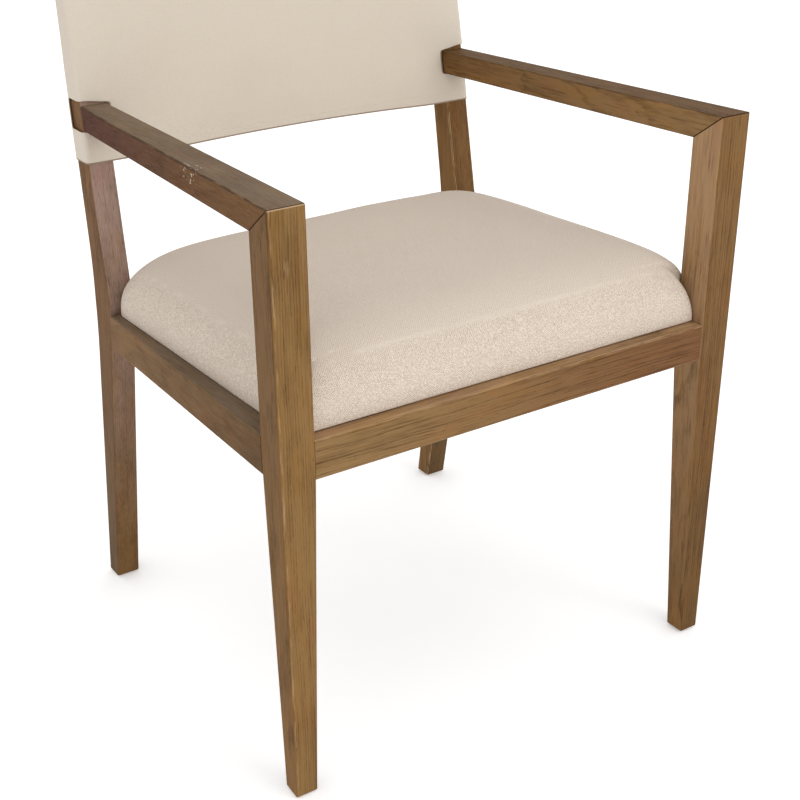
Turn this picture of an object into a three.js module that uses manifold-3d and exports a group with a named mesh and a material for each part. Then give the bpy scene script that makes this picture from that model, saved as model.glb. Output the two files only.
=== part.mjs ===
// A dining armchair: a wooden frame with mitred arms, an upholstered seat and a fabric-covered back.
// Units are millimetres, +Z is up, the chair faces -Y and X = 0 is its mirror plane.
// The origin is on the floor, at the middle of the chair's box.
// "Depth" always means the distance behind the front face of the front legs.
// "Left" and "right" are as seen from the front.

import * as THREE from "three";
import { ConvexGeometry } from "three/addons/geometries/ConvexGeometry.js";
import { mergeVertices } from "three/addons/utils/BufferGeometryUtils.js";
import Module from "manifold-3d";

const wasm = await Module();
wasm.setup();

// ---------------------------------------------------------------------------
// Driving dimensions
// ---------------------------------------------------------------------------

const CHAIR_DEPTH = 547; // front legs' front face to the rear feet's back edge
const FRONT_HALF_WIDTH = 291; // outer faces of the front legs
const REAR_HALF_WIDTH = 270; // outer faces of the rear legs
const TOTAL_HEIGHT = 880;
const ARM_HEIGHT = 652; // top of the arm at its front end
const RAIL_TOP = 419; // top of the front rail
const RAIL_HEIGHT = 42.5;
const RAIL_THICKNESS = 22;
const SIDE_RAIL_THICKNESS = 30; // reaches in under the cushion's edge
const GLIDE_THICKNESS = 2;
const FIT = 0.3; // gap left between neighbours
const EASE = 1.2; // softened edge of the planed timber

// Front legs
const LEG_DEPTH = 40;
const LEG_WIDTH = 39.5;
const FRONT_FOOT = { width: 26, depth: 25.5 };

// Arms, which narrow towards the back posts
const ARM_THICKNESS = 29.5;
const ARM_REAR_THICKNESS = 28;
const ARM_DROP = 7; // how much lower the arm is at its back end
const ARM_REAR_WIDTH = 32;

// Rear legs with their back posts
const POST_WIDTH = 31;
const BEND_HEIGHT = 412;
const BEND_DEPTH = 444.8;
const POST_RAKE = 0.158; // front face above the bend, depth per height
const POST_LEAN = 0.021; // both posts lean inwards above the bend, width per height
const LEG_SPLAY = 0.1876; // front face below the bend
const REAR_FACE_RAKE = 0.125;
const REAR_FACE_SPLAY = 0.151;
const REAR_CURVE = { low: 342, high: 482 };

// Seat
const SEAT_SLOPE = 0.038; // fall towards the back, height per depth
const CUSHION_HEIGHT = 90; // crown above the rails
const BOARD_THICKNESS = 12;
const SEAT_FABRIC = 1.5;

// Back cover
const COVER_THICKNESS = 2;
const COVER_BOTTOM = 585;
const CUT_OUT_MARGIN = 2.5; // round the arm

// ---------------------------------------------------------------------------
// Materials
// ---------------------------------------------------------------------------

function finish(color, roughness, metalness = 0) {
  return new THREE.MeshStandardMaterial({ color, roughness, metalness });
}

const materials = {
  wood: finish(0x8c6e4b, 0.55),
  hiddenWood: finish(0xb08d60, 0.7),
  plywood: finish(0xc2a070, 0.7),
  hardboard: finish(0x6b4a30, 0.75),
  foam: finish(0xeee3c0, 0.95),
  linen: finish(0xddd0be, 0.92),
  lining: finish(0x26241f, 0.95),
  steel: finish(0xa5a7a8, 0.35, 1),
  plastic: finish(0x3a352f, 0.6),
};

// ---------------------------------------------------------------------------
// Lines that several pieces share
// ---------------------------------------------------------------------------

const ARM_REAR_TOP = ARM_HEIGHT - ARM_DROP;
const ARM_REAR_DEPTH = postFrontDepth(ARM_REAR_TOP);
const ARM_REAR_OUTER_HALF = postOuterHalf(ARM_REAR_TOP);
const ARM_REAR_INNER_HALF = ARM_REAR_OUTER_HALF - ARM_REAR_WIDTH;
const LEG_INNER_HALF = FRONT_HALF_WIDTH - LEG_WIDTH;
const MITRE_LOW = ARM_HEIGHT - ARM_THICKNESS;
const POST_TOP = TOTAL_HEIGHT - COVER_THICKNESS - FIT;

// Front face of the rear leg and post at a height.
function postFrontDepth(height) {
  const above = height - BEND_HEIGHT;
  return BEND_DEPTH + above * (above > 0 ? POST_RAKE : -LEG_SPLAY);
}

// Outer and inner faces of the rear leg and post at a height.
function postOuterHalf(height) {
  return REAR_HALF_WIDTH - POST_LEAN * Math.max(0, height - BEND_HEIGHT);
}

function postInnerHalf(height) {
  return postOuterHalf(height) - POST_WIDTH;
}

// Straight part of the post's rear face, at a height above the curve.
function postRearDepth(height) {
  return rearFaceCorner().depth + (height - rearFaceCorner().height) * REAR_FACE_RAKE;
}

// Straight part of the leg's rear face, at a height below the curve.
function legRearDepth(height) {
  return CHAIR_DEPTH - (height - GLIDE_THICKNESS) * REAR_FACE_SPLAY;
}

// Where the rear face's two straight parts would meet if there were no curve.
function rearFaceCorner() {
  const depthAtCurve = legRearDepth(REAR_CURVE.low);
  const share = 0.55; // of the way up the curve
  const height = THREE.MathUtils.lerp(REAR_CURVE.low, REAR_CURVE.high, share);
  return { height, depth: depthAtCurve - (height - REAR_CURVE.low) * REAR_FACE_SPLAY };
}

// Outer and inner faces of the arm, and of the front leg below it, at a depth.
function armOuterHalf(depth) {
  return THREE.MathUtils.lerp(FRONT_HALF_WIDTH, ARM_REAR_OUTER_HALF, depth / ARM_REAR_DEPTH);
}

function armInnerHalf(depth) {
  return THREE.MathUtils.lerp(LEG_INNER_HALF, ARM_REAR_INNER_HALF, depth / ARM_REAR_DEPTH);
}

function railTop(depth) {
  return RAIL_TOP - SEAT_SLOPE * Math.max(0, depth - LEG_DEPTH);
}

// Outer face of the side rail at a depth.
function sideRailOuterHalf(depth) {
  const start = armOuterHalf(LEG_DEPTH);
  const run = postFrontDepth(RAIL_TOP) - LEG_DEPTH;
  return THREE.MathUtils.lerp(start, REAR_HALF_WIDTH, (depth - LEG_DEPTH) / run);
}

// ---------------------------------------------------------------------------
// Geometry helpers
// ---------------------------------------------------------------------------

// A point given by its distance from the mirror plane, depth and height.
function at(side, half, depth, height) {
  return new THREE.Vector3(side * half, depth - CHAIR_DEPTH / 2, height);
}

function solid(geometry) {
  const bare = geometry.clone();
  bare.deleteAttribute("normal");
  bare.deleteAttribute("uv");
  const merged = mergeVertices(bare, 1e-4);
  const mesh = new wasm.Mesh({
    numProp: 3,
    vertProperties: Float32Array.from(merged.attributes.position.array),
    triVerts: Uint32Array.from(merged.index.array),
  });
  mesh.merge();
  return new wasm.Manifold(mesh);
}

function geometryOf(manifold) {
  const mesh = manifold.getMesh();
  const geometry = new THREE.BufferGeometry();
  geometry.setAttribute("position", new THREE.BufferAttribute(mesh.vertProperties, 3));
  geometry.setIndex(new THREE.BufferAttribute(mesh.triVerts, 1));
  geometry.computeVertexNormals();
  return geometry;
}

function hull(points) {
  return solid(new ConvexGeometry(points));
}

// A straight-sided solid through four-cornered rings, with its long edges softened.
// A ring listed in softEnds has its own edges softened as well.
function easedSolid(rings, softEnds = [], ease = EASE) {
  const step = (from, to) => to.clone().sub(from).normalize().multiplyScalar(ease);
  const points = [];
  rings.forEach((ring, level) => {
    ring.forEach((corner, index) => {
      const before = step(corner, ring[(index + 3) % 4]);
      const after = step(corner, ring[(index + 1) % 4]);
      if (!softEnds.includes(level)) {
        points.push(corner.clone().add(before), corner.clone().add(after));
        return;
      }
      const next = rings[level === 0 ? 1 : level - 1];
      const along = step(corner, next[index]);
      points.push(corner.clone().add(before).add(after));
      points.push(corner.clone().add(before).add(along));
      points.push(corner.clone().add(after).add(along));
    });
  });
  return hull(points);
}

// A straight bar with a rectangular section: width is across the bar's run in plan.
function bar(from, to, width, height, grow = 0) {
  const run = to.clone().sub(from).normalize();
  const across = new THREE.Vector3().crossVectors(run, new THREE.Vector3(0, 0, 1)).normalize();
  const up = new THREE.Vector3().crossVectors(across, run);
  const corners = [[-1, -1], [1, -1], [1, 1], [-1, 1]];
  const ends = [from.clone().addScaledVector(run, -grow), to.clone().addScaledVector(run, grow)];
  const points = ends.flatMap((end) => corners.map(([sideways, upwards]) => {
    const corner = end.clone().addScaledVector(across, sideways * (width / 2 + grow));
    return corner.addScaledVector(up, upwards * (height / 2 + grow));
  }));
  return hull(points);
}

// A lathed profile of [radius, distance] pairs, turned so that its axis runs along a direction.
function turned(profile, origin, direction, segments = 12) {
  const points = profile.map(([radius, distance]) => new THREE.Vector2(radius, distance));
  const geometry = new THREE.LatheGeometry(points, segments);
  const turn = new THREE.Quaternion();
  turn.setFromUnitVectors(new THREE.Vector3(0, 1, 0), direction.clone().normalize());
  geometry.applyQuaternion(turn);
  geometry.translate(origin.x, origin.y, origin.z);
  return solid(geometry);
}

function rod(radius, from, direction, length) {
  return turned([[0, 0], [radius, 0], [radius, length], [0, length]], from, direction);
}

// A flat outline of [half width, depth] pairs, extruded upwards between two heights.
function slab(outline, low, high) {
  const corners = outline.map(([x, depth]) => new THREE.Vector2(x, depth - CHAIR_DEPTH / 2));
  const extrusion = { depth: high - low, bevelEnabled: false };
  const geometry = new THREE.ExtrudeGeometry(new THREE.Shape(corners), extrusion);
  geometry.translate(0, 0, low);
  return solid(geometry);
}

// ---------------------------------------------------------------------------
// Joints: each is written once, and used by the piece that has it and the pieces it is cut into
// ---------------------------------------------------------------------------

// A tenon starts inside its rail, at its root, so that the two become one body.
const TENON = { thickness: 9, height: 30, length: 20, root: 4 };
const REAR_TENON = { height: 26, length: 14, root: 8 };
const ARM_TENON = { width: 18, thickness: 12, inArm: 22, inPost: 16 };
const SPLINE = { width: 24, thickness: 4, reach: 8 };
const FRONT_RAIL_DEPTH = 1; // set back from the legs' front face

function frontRailTenon(side, grow) {
  const depth = FRONT_RAIL_DEPTH + RAIL_THICKNESS / 2;
  const height = RAIL_TOP - RAIL_HEIGHT / 2;
  const shoulder = armInnerHalf(depth);
  return bar(
    at(side, shoulder - TENON.root, depth, height),
    at(side, shoulder + TENON.length, depth, height),
    TENON.thickness, TENON.height, grow,
  );
}

// The side rail's tenons lie towards its outer face, which keeps them clear of the cross rails' tenons.
function sideRailTenonLine(side, depth) {
  const half = sideRailOuterHalf(depth) - RAIL_THICKNESS / 2;
  return at(side, half, depth, railTop(depth) - RAIL_HEIGHT / 2);
}

function sideRailFrontTenon(side, grow) {
  return bar(
    sideRailTenonLine(side, LEG_DEPTH + TENON.root),
    sideRailTenonLine(side, LEG_DEPTH - TENON.length),
    TENON.thickness, TENON.height, grow,
  );
}

function sideRailRearTenon(side, grow) {
  const shoulder = postFrontDepth(railTop(BEND_DEPTH) - RAIL_HEIGHT / 2);
  return bar(
    sideRailTenonLine(side, shoulder - REAR_TENON.root),
    sideRailTenonLine(side, shoulder + REAR_TENON.length),
    TENON.thickness, REAR_TENON.height, grow,
  );
}

// The rails between the posts: where each lies and how far its tenons reach.
const crossRails = {
  rear: {
    low: 361,
    front: 452,
    rear: 474,
    tenonOffset: 2, // behind the middle, clear of the side rail's tenon
    tenonLength: 12,
    tenonThickness: 8,
    tenonHeight: 28,
  },
  backBottom: { low: 590, high: 630, tenonLength: 15, tenonThickness: 8, tenonHeight: 26 },
  backTop: {
    low: POST_TOP - 40,
    high: POST_TOP,
    tenonLength: 15,
    tenonThickness: 6,
    tenonHeight: 24,
  },
};

const BACK_FOAM = 6;
const BACK_BOARD = 3;

// Front and rear faces of a rail inside the back: behind the foam and board, before the rear panel.
function backRailFront(height) {
  return postFrontDepth(height) + BACK_FOAM + BACK_BOARD + 2 * FIT;
}

function backRailRear(height) {
  return postRearDepth(height) - BACK_BOARD - FIT;
}

function backRailTenon(side, rail, grow) {
  const height = (rail.low + rail.high) / 2;
  const depth = (backRailFront(height) + backRailRear(height)) / 2;
  return bar(
    at(side, postInnerHalf(height) - TENON.root, depth, height),
    at(side, postInnerHalf(height) + rail.tenonLength, depth, height),
    rail.tenonThickness, rail.tenonHeight, grow,
  );
}

function rearRailTenon(side, grow) {
  const rail = crossRails.rear;
  const depth = (rail.front + rail.rear) / 2 + rail.tenonOffset;
  const height = (rail.low + railTop(depth)) / 2;
  return bar(
    at(side, postInnerHalf(height) - TENON.root, depth, height),
    at(side, postInnerHalf(height) + rail.tenonLength, depth, height),
    rail.tenonThickness, rail.tenonHeight, grow,
  );
}

// The loose tenon between the arm and the post.
function armTenon(side, grow = 0) {
  const half = ARM_REAR_OUTER_HALF - ARM_REAR_WIDTH / 2;
  const height = ARM_REAR_TOP - ARM_REAR_THICKNESS / 2;
  const taper = 1; // the arm's centre line runs outwards towards the front
  return bar(
    at(side, half + taper, ARM_REAR_DEPTH - ARM_TENON.inArm, height),
    at(side, half, ARM_REAR_DEPTH + ARM_TENON.inPost, height),
    ARM_TENON.width, ARM_TENON.thickness, grow,
  );
}

// Direction square to the mitre between the front leg and the arm, from the leg into the arm.
function acrossMitre() {
  return new THREE.Vector3(0, ARM_HEIGHT - MITRE_LOW, LEG_DEPTH).normalize();
}

// The spline across that mitre.
function mitreSpline(side, grow = 0) {
  const depth = LEG_DEPTH / 2;
  const half = (armInnerHalf(depth) + armOuterHalf(depth)) / 2;
  const middle = at(side, half, depth, (ARM_HEIGHT + MITRE_LOW) / 2);
  return bar(
    middle.clone().addScaledVector(acrossMitre(), -SPLINE.reach),
    middle.clone().addScaledVector(acrossMitre(), SPLINE.reach),
    SPLINE.width, SPLINE.thickness, grow,
  );
}

// ---------------------------------------------------------------------------
// Wooden frame
// ---------------------------------------------------------------------------

function frontLeg(side) {
  const taperStart = RAIL_TOP - RAIL_HEIGHT;
  const section = (frontHeight, rearHeight) => [
    at(side, FRONT_HALF_WIDTH, 0, frontHeight),
    at(side, LEG_INNER_HALF, 0, frontHeight),
    at(side, armInnerHalf(LEG_DEPTH), LEG_DEPTH, rearHeight),
    at(side, armOuterHalf(LEG_DEPTH), LEG_DEPTH, rearHeight),
  ];
  const footInner = FRONT_HALF_WIDTH - FRONT_FOOT.width;
  const foot = [
    at(side, FRONT_HALF_WIDTH, 0, GLIDE_THICKNESS),
    at(side, footInner, 0, GLIDE_THICKNESS),
    at(side, footInner, FRONT_FOOT.depth, GLIDE_THICKNESS),
    at(side, armOuterHalf(FRONT_FOOT.depth), FRONT_FOOT.depth, GLIDE_THICKNESS),
  ];
  return easedSolid([foot, section(taperStart, taperStart), section(ARM_HEIGHT, MITRE_LOW)], [0])
    .subtract(frontRailTenon(side, FIT))
    .subtract(sideRailFrontTenon(side, FIT))
    .subtract(mitreSpline(side, FIT))
    .subtract(glidePin(side, frontFootCentre(side), FIT));
}

function arm(side) {
  const rearTop = ARM_REAR_TOP;
  const rearLow = rearTop - ARM_REAR_THICKNESS;
  // The front ring lies on the mitre, lifted off the leg by the joint's gap.
  const lift = acrossMitre().multiplyScalar(FIT);
  const mitre = [
    at(side, FRONT_HALF_WIDTH, 0, ARM_HEIGHT),
    at(side, LEG_INNER_HALF, 0, ARM_HEIGHT),
    at(side, armInnerHalf(LEG_DEPTH), LEG_DEPTH, MITRE_LOW),
    at(side, armOuterHalf(LEG_DEPTH), LEG_DEPTH, MITRE_LOW),
  ].map((corner) => corner.add(lift));
  const end = (half, height) => at(side, half, postFrontDepth(height) - FIT, height);
  const butt = [
    end(ARM_REAR_OUTER_HALF, rearTop),
    end(ARM_REAR_INNER_HALF, rearTop),
    end(ARM_REAR_INNER_HALF, rearLow),
    end(ARM_REAR_OUTER_HALF, rearLow),
  ];
  return easedSolid([mitre, butt])
    .subtract(mitreSpline(side, FIT))
    .subtract(armTenon(side, FIT));
}

// The rear leg's side outline: straight front faces with a bend, and a curve at the back.
function rearLegOutline() {
  const corner = rearFaceCorner();
  const low = REAR_CURVE.low;
  const high = REAR_CURVE.high;
  const shape = new THREE.Shape();
  shape.moveTo(postFrontDepth(GLIDE_THICKNESS), GLIDE_THICKNESS);
  shape.lineTo(legRearDepth(GLIDE_THICKNESS), GLIDE_THICKNESS);
  shape.lineTo(legRearDepth(low), low);
  shape.quadraticCurveTo(corner.depth, corner.height, postRearDepth(high), high);
  shape.lineTo(postRearDepth(POST_TOP), POST_TOP);
  shape.lineTo(postFrontDepth(POST_TOP), POST_TOP);
  shape.lineTo(BEND_DEPTH, BEND_HEIGHT);
  shape.closePath();
  return shape;
}

// All the space above a height.
function spaceAbove(height) {
  const reach = 2000;
  const geometry = new THREE.BoxGeometry(reach, reach, reach);
  geometry.translate(0, 0, height + reach / 2);
  return solid(geometry);
}

// Everything above the bend leans towards the mirror plane; below it stays upright.
function leaned(body, side) {
  const above = spaceAbove(BEND_HEIGHT);
  const shear = new THREE.Matrix4().set(
    1, 0, -side * POST_LEAN, side * POST_LEAN * BEND_HEIGHT,
    0, 1, 0, 0,
    0, 0, 1, 0,
    0, 0, 0, 1,
  );
  const upper = geometryOf(body.intersect(above)).applyMatrix4(shear);
  return body.subtract(above).add(solid(upper));
}

function rearLeg(side) {
  const geometry = new THREE.ExtrudeGeometry(rearLegOutline(), {
    depth: POST_WIDTH - 2 * EASE,
    bevelThickness: EASE,
    bevelSize: EASE,
    bevelOffset: -EASE,
    bevelSegments: 1,
    curveSegments: 8,
  });
  // The outline was drawn as depth and height: stand it up so that it is extruded across the chair.
  const turn = new THREE.Matrix4().makeBasis(
    new THREE.Vector3(0, 1, 0), new THREE.Vector3(0, 0, 1), new THREE.Vector3(1, 0, 0),
  );
  geometry.applyMatrix4(turn);
  const lowestX = side > 0 ? REAR_HALF_WIDTH - POST_WIDTH : -REAR_HALF_WIDTH;
  geometry.translate(lowestX + EASE, -CHAIR_DEPTH / 2, 0);
  return leaned(solid(geometry), side)
    .subtract(sideRailRearTenon(side, FIT))
    .subtract(rearRailTenon(side, FIT))
    .subtract(backRailTenon(side, crossRails.backBottom, FIT))
    .subtract(backRailTenon(side, crossRails.backTop, FIT))
    .subtract(armTenon(side, FIT))
    .subtract(glidePin(side, rearFootCentre(side), FIT));
}

function frontRail() {
  const end = (side) => {
    const half = (depth) => armInnerHalf(depth) - FIT;
    const front = FRONT_RAIL_DEPTH;
    const rear = FRONT_RAIL_DEPTH + RAIL_THICKNESS;
    const low = RAIL_TOP - RAIL_HEIGHT;
    return [
      at(side, half(front), front, RAIL_TOP),
      at(side, half(rear), rear, RAIL_TOP),
      at(side, half(rear), rear, low),
      at(side, half(front), front, low),
    ];
  };
  let rail = easedSolid([end(-1), end(1)]);
  for (const side of [-1, 1]) {
    rail = rail.add(frontRailTenon(side, 0));
    rail = rail.subtract(blockScrewPath(blocks.front, side, "across"));
  }
  return rail;
}

function sideRail(side) {
  const ring = (depthTop, depthLow) => {
    const outer = (depth) => sideRailOuterHalf(depth);
    const inner = (depth) => sideRailOuterHalf(depth) - SIDE_RAIL_THICKNESS;
    const low = (depth) => railTop(depth) - RAIL_HEIGHT;
    return [
      at(side, outer(depthTop), depthTop, railTop(depthTop)),
      at(side, inner(depthTop), depthTop, railTop(depthTop)),
      at(side, inner(depthLow), depthLow, low(depthLow)),
      at(side, outer(depthLow), depthLow, low(depthLow)),
    ];
  };
  const front = LEG_DEPTH + FIT;
  const rearTop = postFrontDepth(railTop(BEND_DEPTH)) - FIT;
  const rearLow = postFrontDepth(railTop(BEND_DEPTH) - RAIL_HEIGHT) - FIT;
  return easedSolid([ring(front, front), ring(rearTop, rearLow)])
    .add(sideRailFrontTenon(side, 0))
    .add(sideRailRearTenon(side, 0))
    .subtract(blockScrewPath(blocks.front, side, "along"))
    .subtract(blockScrewPath(blocks.rear, side, "along"));
}

function rearRail() {
  const { low, front, rear } = crossRails.rear;
  const half = postInnerHalf(low) - FIT;
  const end = (side) => [
    at(side, half, front, railTop(front)),
    at(side, half, rear, railTop(rear)),
    at(side, half, rear, low),
    at(side, half, front, low),
  ];
  let rail = easedSolid([end(-1), end(1)]);
  for (const side of [-1, 1]) {
    rail = rail.add(rearRailTenon(side, 0));
    rail = rail.subtract(blockScrewPath(blocks.rear, side, "across"));
  }
  return rail;
}

function backRail(rail) {
  const half = (height) => postInnerHalf(height) - FIT;
  const end = (side) => [
    at(side, half(rail.high), backRailFront(rail.high), rail.high),
    at(side, half(rail.high), backRailRear(rail.high), rail.high),
    at(side, half(rail.low), backRailRear(rail.low), rail.low),
    at(side, half(rail.low), backRailFront(rail.low), rail.low),
  ];
  let body = easedSolid([end(-1), end(1)], [], EASE / 2);
  for (const side of [-1, 1]) {
    body = body.add(backRailTenon(side, rail, 0));
  }
  return body;
}

// ---------------------------------------------------------------------------
// Corner blocks and screws
// ---------------------------------------------------------------------------

const BLOCK_HEIGHT = 26;
const SCREW = { head: 4, headHeight: 2.5, shank: 2, point: 4 };
const RAIL_SCREW_LENGTH = 32;
const SEAT_SCREW_LENGTH = 33;

// Plan outlines of the blocks as [half width, depth], clear of the legs and touching the rails.
// "across" screws run along the depth into the cross rail, "along" screws run out into the side rail.
const blocks = {
  front: {
    outline: [[187, 23.3], [222, 23.3], [257.9, 59.8], [256.3, 93]],
    across: { half: 205, depth: 40, towards: -1 },
    along: { half: 240, depth: 76 },
    seat: { half: 221, depth: 47 },
  },
  rear: {
    outline: [[172, 451.7], [206, 451.7], [240.9, 416.7], [242.3, 381.1]],
    across: { half: 189, depth: 436, towards: 1 },
    along: { half: 227, depth: 399 },
    seat: { half: 205, depth: 435 },
  },
};

function blockTop(block) {
  return railTop(Math.max(...block.outline.map(([, depth]) => depth))) - FIT;
}

function blockScrewAxis(block, side, kind) {
  const middle = blockTop(block) - BLOCK_HEIGHT / 2;
  const spot = block[kind];
  const acrossRail = new THREE.Vector3(0, spot.towards, 0);
  const direction = kind === "across" ? acrossRail : new THREE.Vector3(side, 0, 0);
  return { head: at(side, spot.half, spot.depth, middle), direction };
}

function seatScrewAxis(block, side) {
  const low = blockTop(block) - BLOCK_HEIGHT - FIT - SCREW.headHeight;
  const head = at(side, block.seat.half, block.seat.depth, low);
  return { head, direction: new THREE.Vector3(0, 0, 1) };
}

function screw({ head, direction }, length) {
  const profile = [
    [0, 0],
    [SCREW.head * 0.8, 0],
    [SCREW.head, SCREW.headHeight * 0.5],
    [SCREW.head, SCREW.headHeight],
    [SCREW.shank, SCREW.headHeight],
    [SCREW.shank, length - SCREW.point],
    [0, length],
  ];
  return turned(profile, head, direction);
}

// The hole that a block screw needs, with room behind its head.
function blockScrewPath(block, side, kind) {
  const { head, direction } = blockScrewAxis(block, side, kind);
  const counterbore = 40; // long enough to leave the block
  const behind = head.clone().addScaledVector(direction, -counterbore);
  const room = rod(SCREW.head + 2 * FIT, behind, direction, counterbore + SCREW.headHeight + FIT);
  return rod(SCREW.shank + FIT, head, direction, RAIL_SCREW_LENGTH + 1).add(room);
}

function seatScrewPath(block, side) {
  const { head, direction } = seatScrewAxis(block, side);
  return rod(SCREW.shank + FIT, head, direction, SEAT_SCREW_LENGTH + 1);
}

function cornerBlock(block, side) {
  const top = blockTop(block);
  const outline = block.outline.map(([half, depth]) => [side * half, depth]);
  return slab(outline, top - BLOCK_HEIGHT, top)
    .subtract(blockScrewPath(block, side, "across"))
    .subtract(blockScrewPath(block, side, "along"))
    .subtract(seatScrewPath(block, side));
}

// ---------------------------------------------------------------------------
// Floor glides
// ---------------------------------------------------------------------------

function frontFootCentre(side) {
  return at(side, FRONT_HALF_WIDTH - FRONT_FOOT.width / 2, FRONT_FOOT.depth / 2, 0);
}

function rearFootCentre(side) {
  const depth = (postFrontDepth(GLIDE_THICKNESS) + legRearDepth(GLIDE_THICKNESS)) / 2;
  return at(side, REAR_HALF_WIDTH - POST_WIDTH / 2, depth, 0);
}

const GLIDE = { radius: 8, edge: 0.6, pinRadius: 1.5, pinLength: 14 };

function glidePin(side, centre, grow) {
  const radius = GLIDE.pinRadius + grow;
  return rod(radius, centre, new THREE.Vector3(0, 0, 1), GLIDE_THICKNESS + GLIDE.pinLength + grow);
}

function glide(centre) {
  const top = GLIDE_THICKNESS - FIT / 2;
  const profile = [
    [0, 0],
    [GLIDE.radius - GLIDE.edge, 0],
    [GLIDE.radius, GLIDE.edge],
    [GLIDE.radius, top],
    [GLIDE.pinRadius, top],
    [GLIDE.pinRadius, GLIDE_THICKNESS + GLIDE.pinLength],
    [0, GLIDE_THICKNESS + GLIDE.pinLength],
  ];
  return turned(profile, centre, new THREE.Vector3(0, 0, 1), 20);
}

// ---------------------------------------------------------------------------
// Seat
// ---------------------------------------------------------------------------

const CUSHION = {
  frontDepth: 15,
  rearDepth: 462,
  frontHalf: 248.5, // between the front legs
  sideHalf: 265, // behind the front legs
  rearSideHalf: 259, // in front of the posts
  betweenPosts: 233,
  legGap: 1.5,
  postGap: 2,
};

// Plan outline of the cushion, notched round the front legs and the back posts.
function cushionOutline(inset) {
  const rightHalf = [
    [CUSHION.frontHalf - inset, CUSHION.frontDepth + inset],
    [CUSHION.frontHalf - inset, LEG_DEPTH + CUSHION.legGap + inset],
    [CUSHION.sideHalf - inset, LEG_DEPTH + CUSHION.legGap + inset],
    [CUSHION.rearSideHalf - inset, BEND_DEPTH - CUSHION.postGap - inset],
    [CUSHION.betweenPosts - inset, BEND_DEPTH - CUSHION.postGap - inset],
    [CUSHION.betweenPosts - inset, CUSHION.rearDepth - inset],
  ];
  const leftHalf = rightHalf.map(([x, depth]) => [-x, depth]).reverse();
  return [...rightHalf, ...leftHalf];
}

// Height of the plane that slopes with the rails' tops.
function railPlane(depth) {
  return RAIL_TOP - SEAT_SLOPE * (depth - LEG_DEPTH);
}

// A crowned block: its sides turn over a soft shoulder into a domed top that slopes with the rails.
function crownedBlock(inset) {
  const cells = 20;
  const margin = 1 - inset;
  const halfDepth = (CUSHION.rearDepth - CUSHION.frontDepth) / 2 + margin;
  const middle = (CUSHION.frontDepth + CUSHION.rearDepth) / 2;
  const sides = 6.4; // higher is squarer
  const shoulder = 0.43; // lower is a fuller shoulder
  const underside = -20;
  const box = new THREE.BoxGeometry(2, 2, 2, cells, cells, 1);
  const position = box.attributes.position;
  for (let i = 0; i < position.count; i += 1) {
    // Grid lines crowd towards the rim, where the shoulder turns over.
    const u = Math.sin((position.getX(i) * Math.PI) / 2);
    const v = Math.sin((position.getY(i) * Math.PI) / 2);
    const depth = middle + v * halfDepth;
    const share = (v + 1) / 2;
    const half = THREE.MathUtils.lerp(CUSHION.sideHalf, CUSHION.rearSideHalf, share) + margin;
    const fullness = (1 - Math.abs(u) ** sides) * (1 - Math.abs(v) ** sides);
    const crown = (CUSHION_HEIGHT - inset) * Math.max(0, fullness) ** shoulder;
    const rise = position.getZ(i) > 0 ? crown : underside;
    position.setXYZ(i, u * half, depth - CHAIR_DEPTH / 2, railPlane(depth) + rise);
  }
  return solid(box);
}

// Everything above a plane that slopes with the rails, at a height over them.
function aboveRails(lift) {
  const reach = 400;
  const points = [];
  for (const side of [-1, 1]) {
    for (const depth of [-reach, CHAIR_DEPTH + reach]) {
      points.push(at(side, reach, depth, railPlane(depth) + lift));
      points.push(at(side, reach, depth, RAIL_TOP + reach));
    }
  }
  return hull(points);
}

// The cushion's outline as a tall upright block.
function cushionPlan(inset) {
  return slab(cushionOutline(inset), RAIL_TOP - RAIL_HEIGHT, RAIL_TOP + 2 * CUSHION_HEIGHT);
}

function cushionBody(inset, bottom) {
  return cushionPlan(inset)
    .intersect(crownedBlock(inset))
    .intersect(aboveRails(bottom));
}

function seatScrewPaths() {
  const paths = [-1, 1].flatMap((side) => [
    seatScrewPath(blocks.front, side),
    seatScrewPath(blocks.rear, side),
  ]);
  return paths.reduce((all, path) => all.add(path));
}

function seatBoard() {
  return cushionPlan(SEAT_FABRIC + FIT)
    .intersect(aboveRails(FIT))
    .subtract(aboveRails(FIT + BOARD_THICKNESS))
    .subtract(seatScrewPaths());
}

function seatFoam() {
  return cushionBody(SEAT_FABRIC + FIT, BOARD_THICKNESS + 2 * FIT).subtract(seatScrewPaths());
}

// The board fills its outline up to its edge, where the cushion's own sides have begun to lean in.
function seatBoardSpace() {
  return cushionPlan(SEAT_FABRIC).subtract(aboveRails(BOARD_THICKNESS + 2 * FIT));
}

function seatCover() {
  const openBelow = -5;
  return cushionBody(0, FIT)
    .subtract(cushionBody(SEAT_FABRIC, openBelow))
    .subtract(seatBoardSpace());
}

// The lining under the seat board, with its corners cut off to clear the corner blocks.
const DUST_COVER = {
  half: 232,
  front: 30,
  rear: 445,
  thickness: 0.8,
  frontCut: { half: 55, depth: 80 },
  rearCut: { half: 70, depth: 80 },
};

function dustCover() {
  const { half, front, rear, frontCut, rearCut } = DUST_COVER;
  const rightHalf = [
    [half - frontCut.half, front],
    [half, front + frontCut.depth],
    [half, rear - rearCut.depth],
    [half - rearCut.half, rear],
  ];
  const leftHalf = rightHalf.map(([x, depth]) => [-x, depth]).reverse();
  return slab([...rightHalf, ...leftHalf], RAIL_TOP - RAIL_HEIGHT, RAIL_TOP + RAIL_HEIGHT)
    .intersect(aboveRails(-DUST_COVER.thickness))
    .subtract(aboveRails(0));
}

// ---------------------------------------------------------------------------
// Back
// ---------------------------------------------------------------------------

// A sheet between the posts, following two faces given as functions of the height.
function backLayer(frontFace, rearFace, low, high) {
  const points = [];
  for (const side of [-1, 1]) {
    for (const height of [low, high]) {
      const half = postInnerHalf(height) - FIT;
      points.push(at(side, half, frontFace(height), height), at(side, half, rearFace(height), height));
    }
  }
  return hull(points);
}

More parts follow.
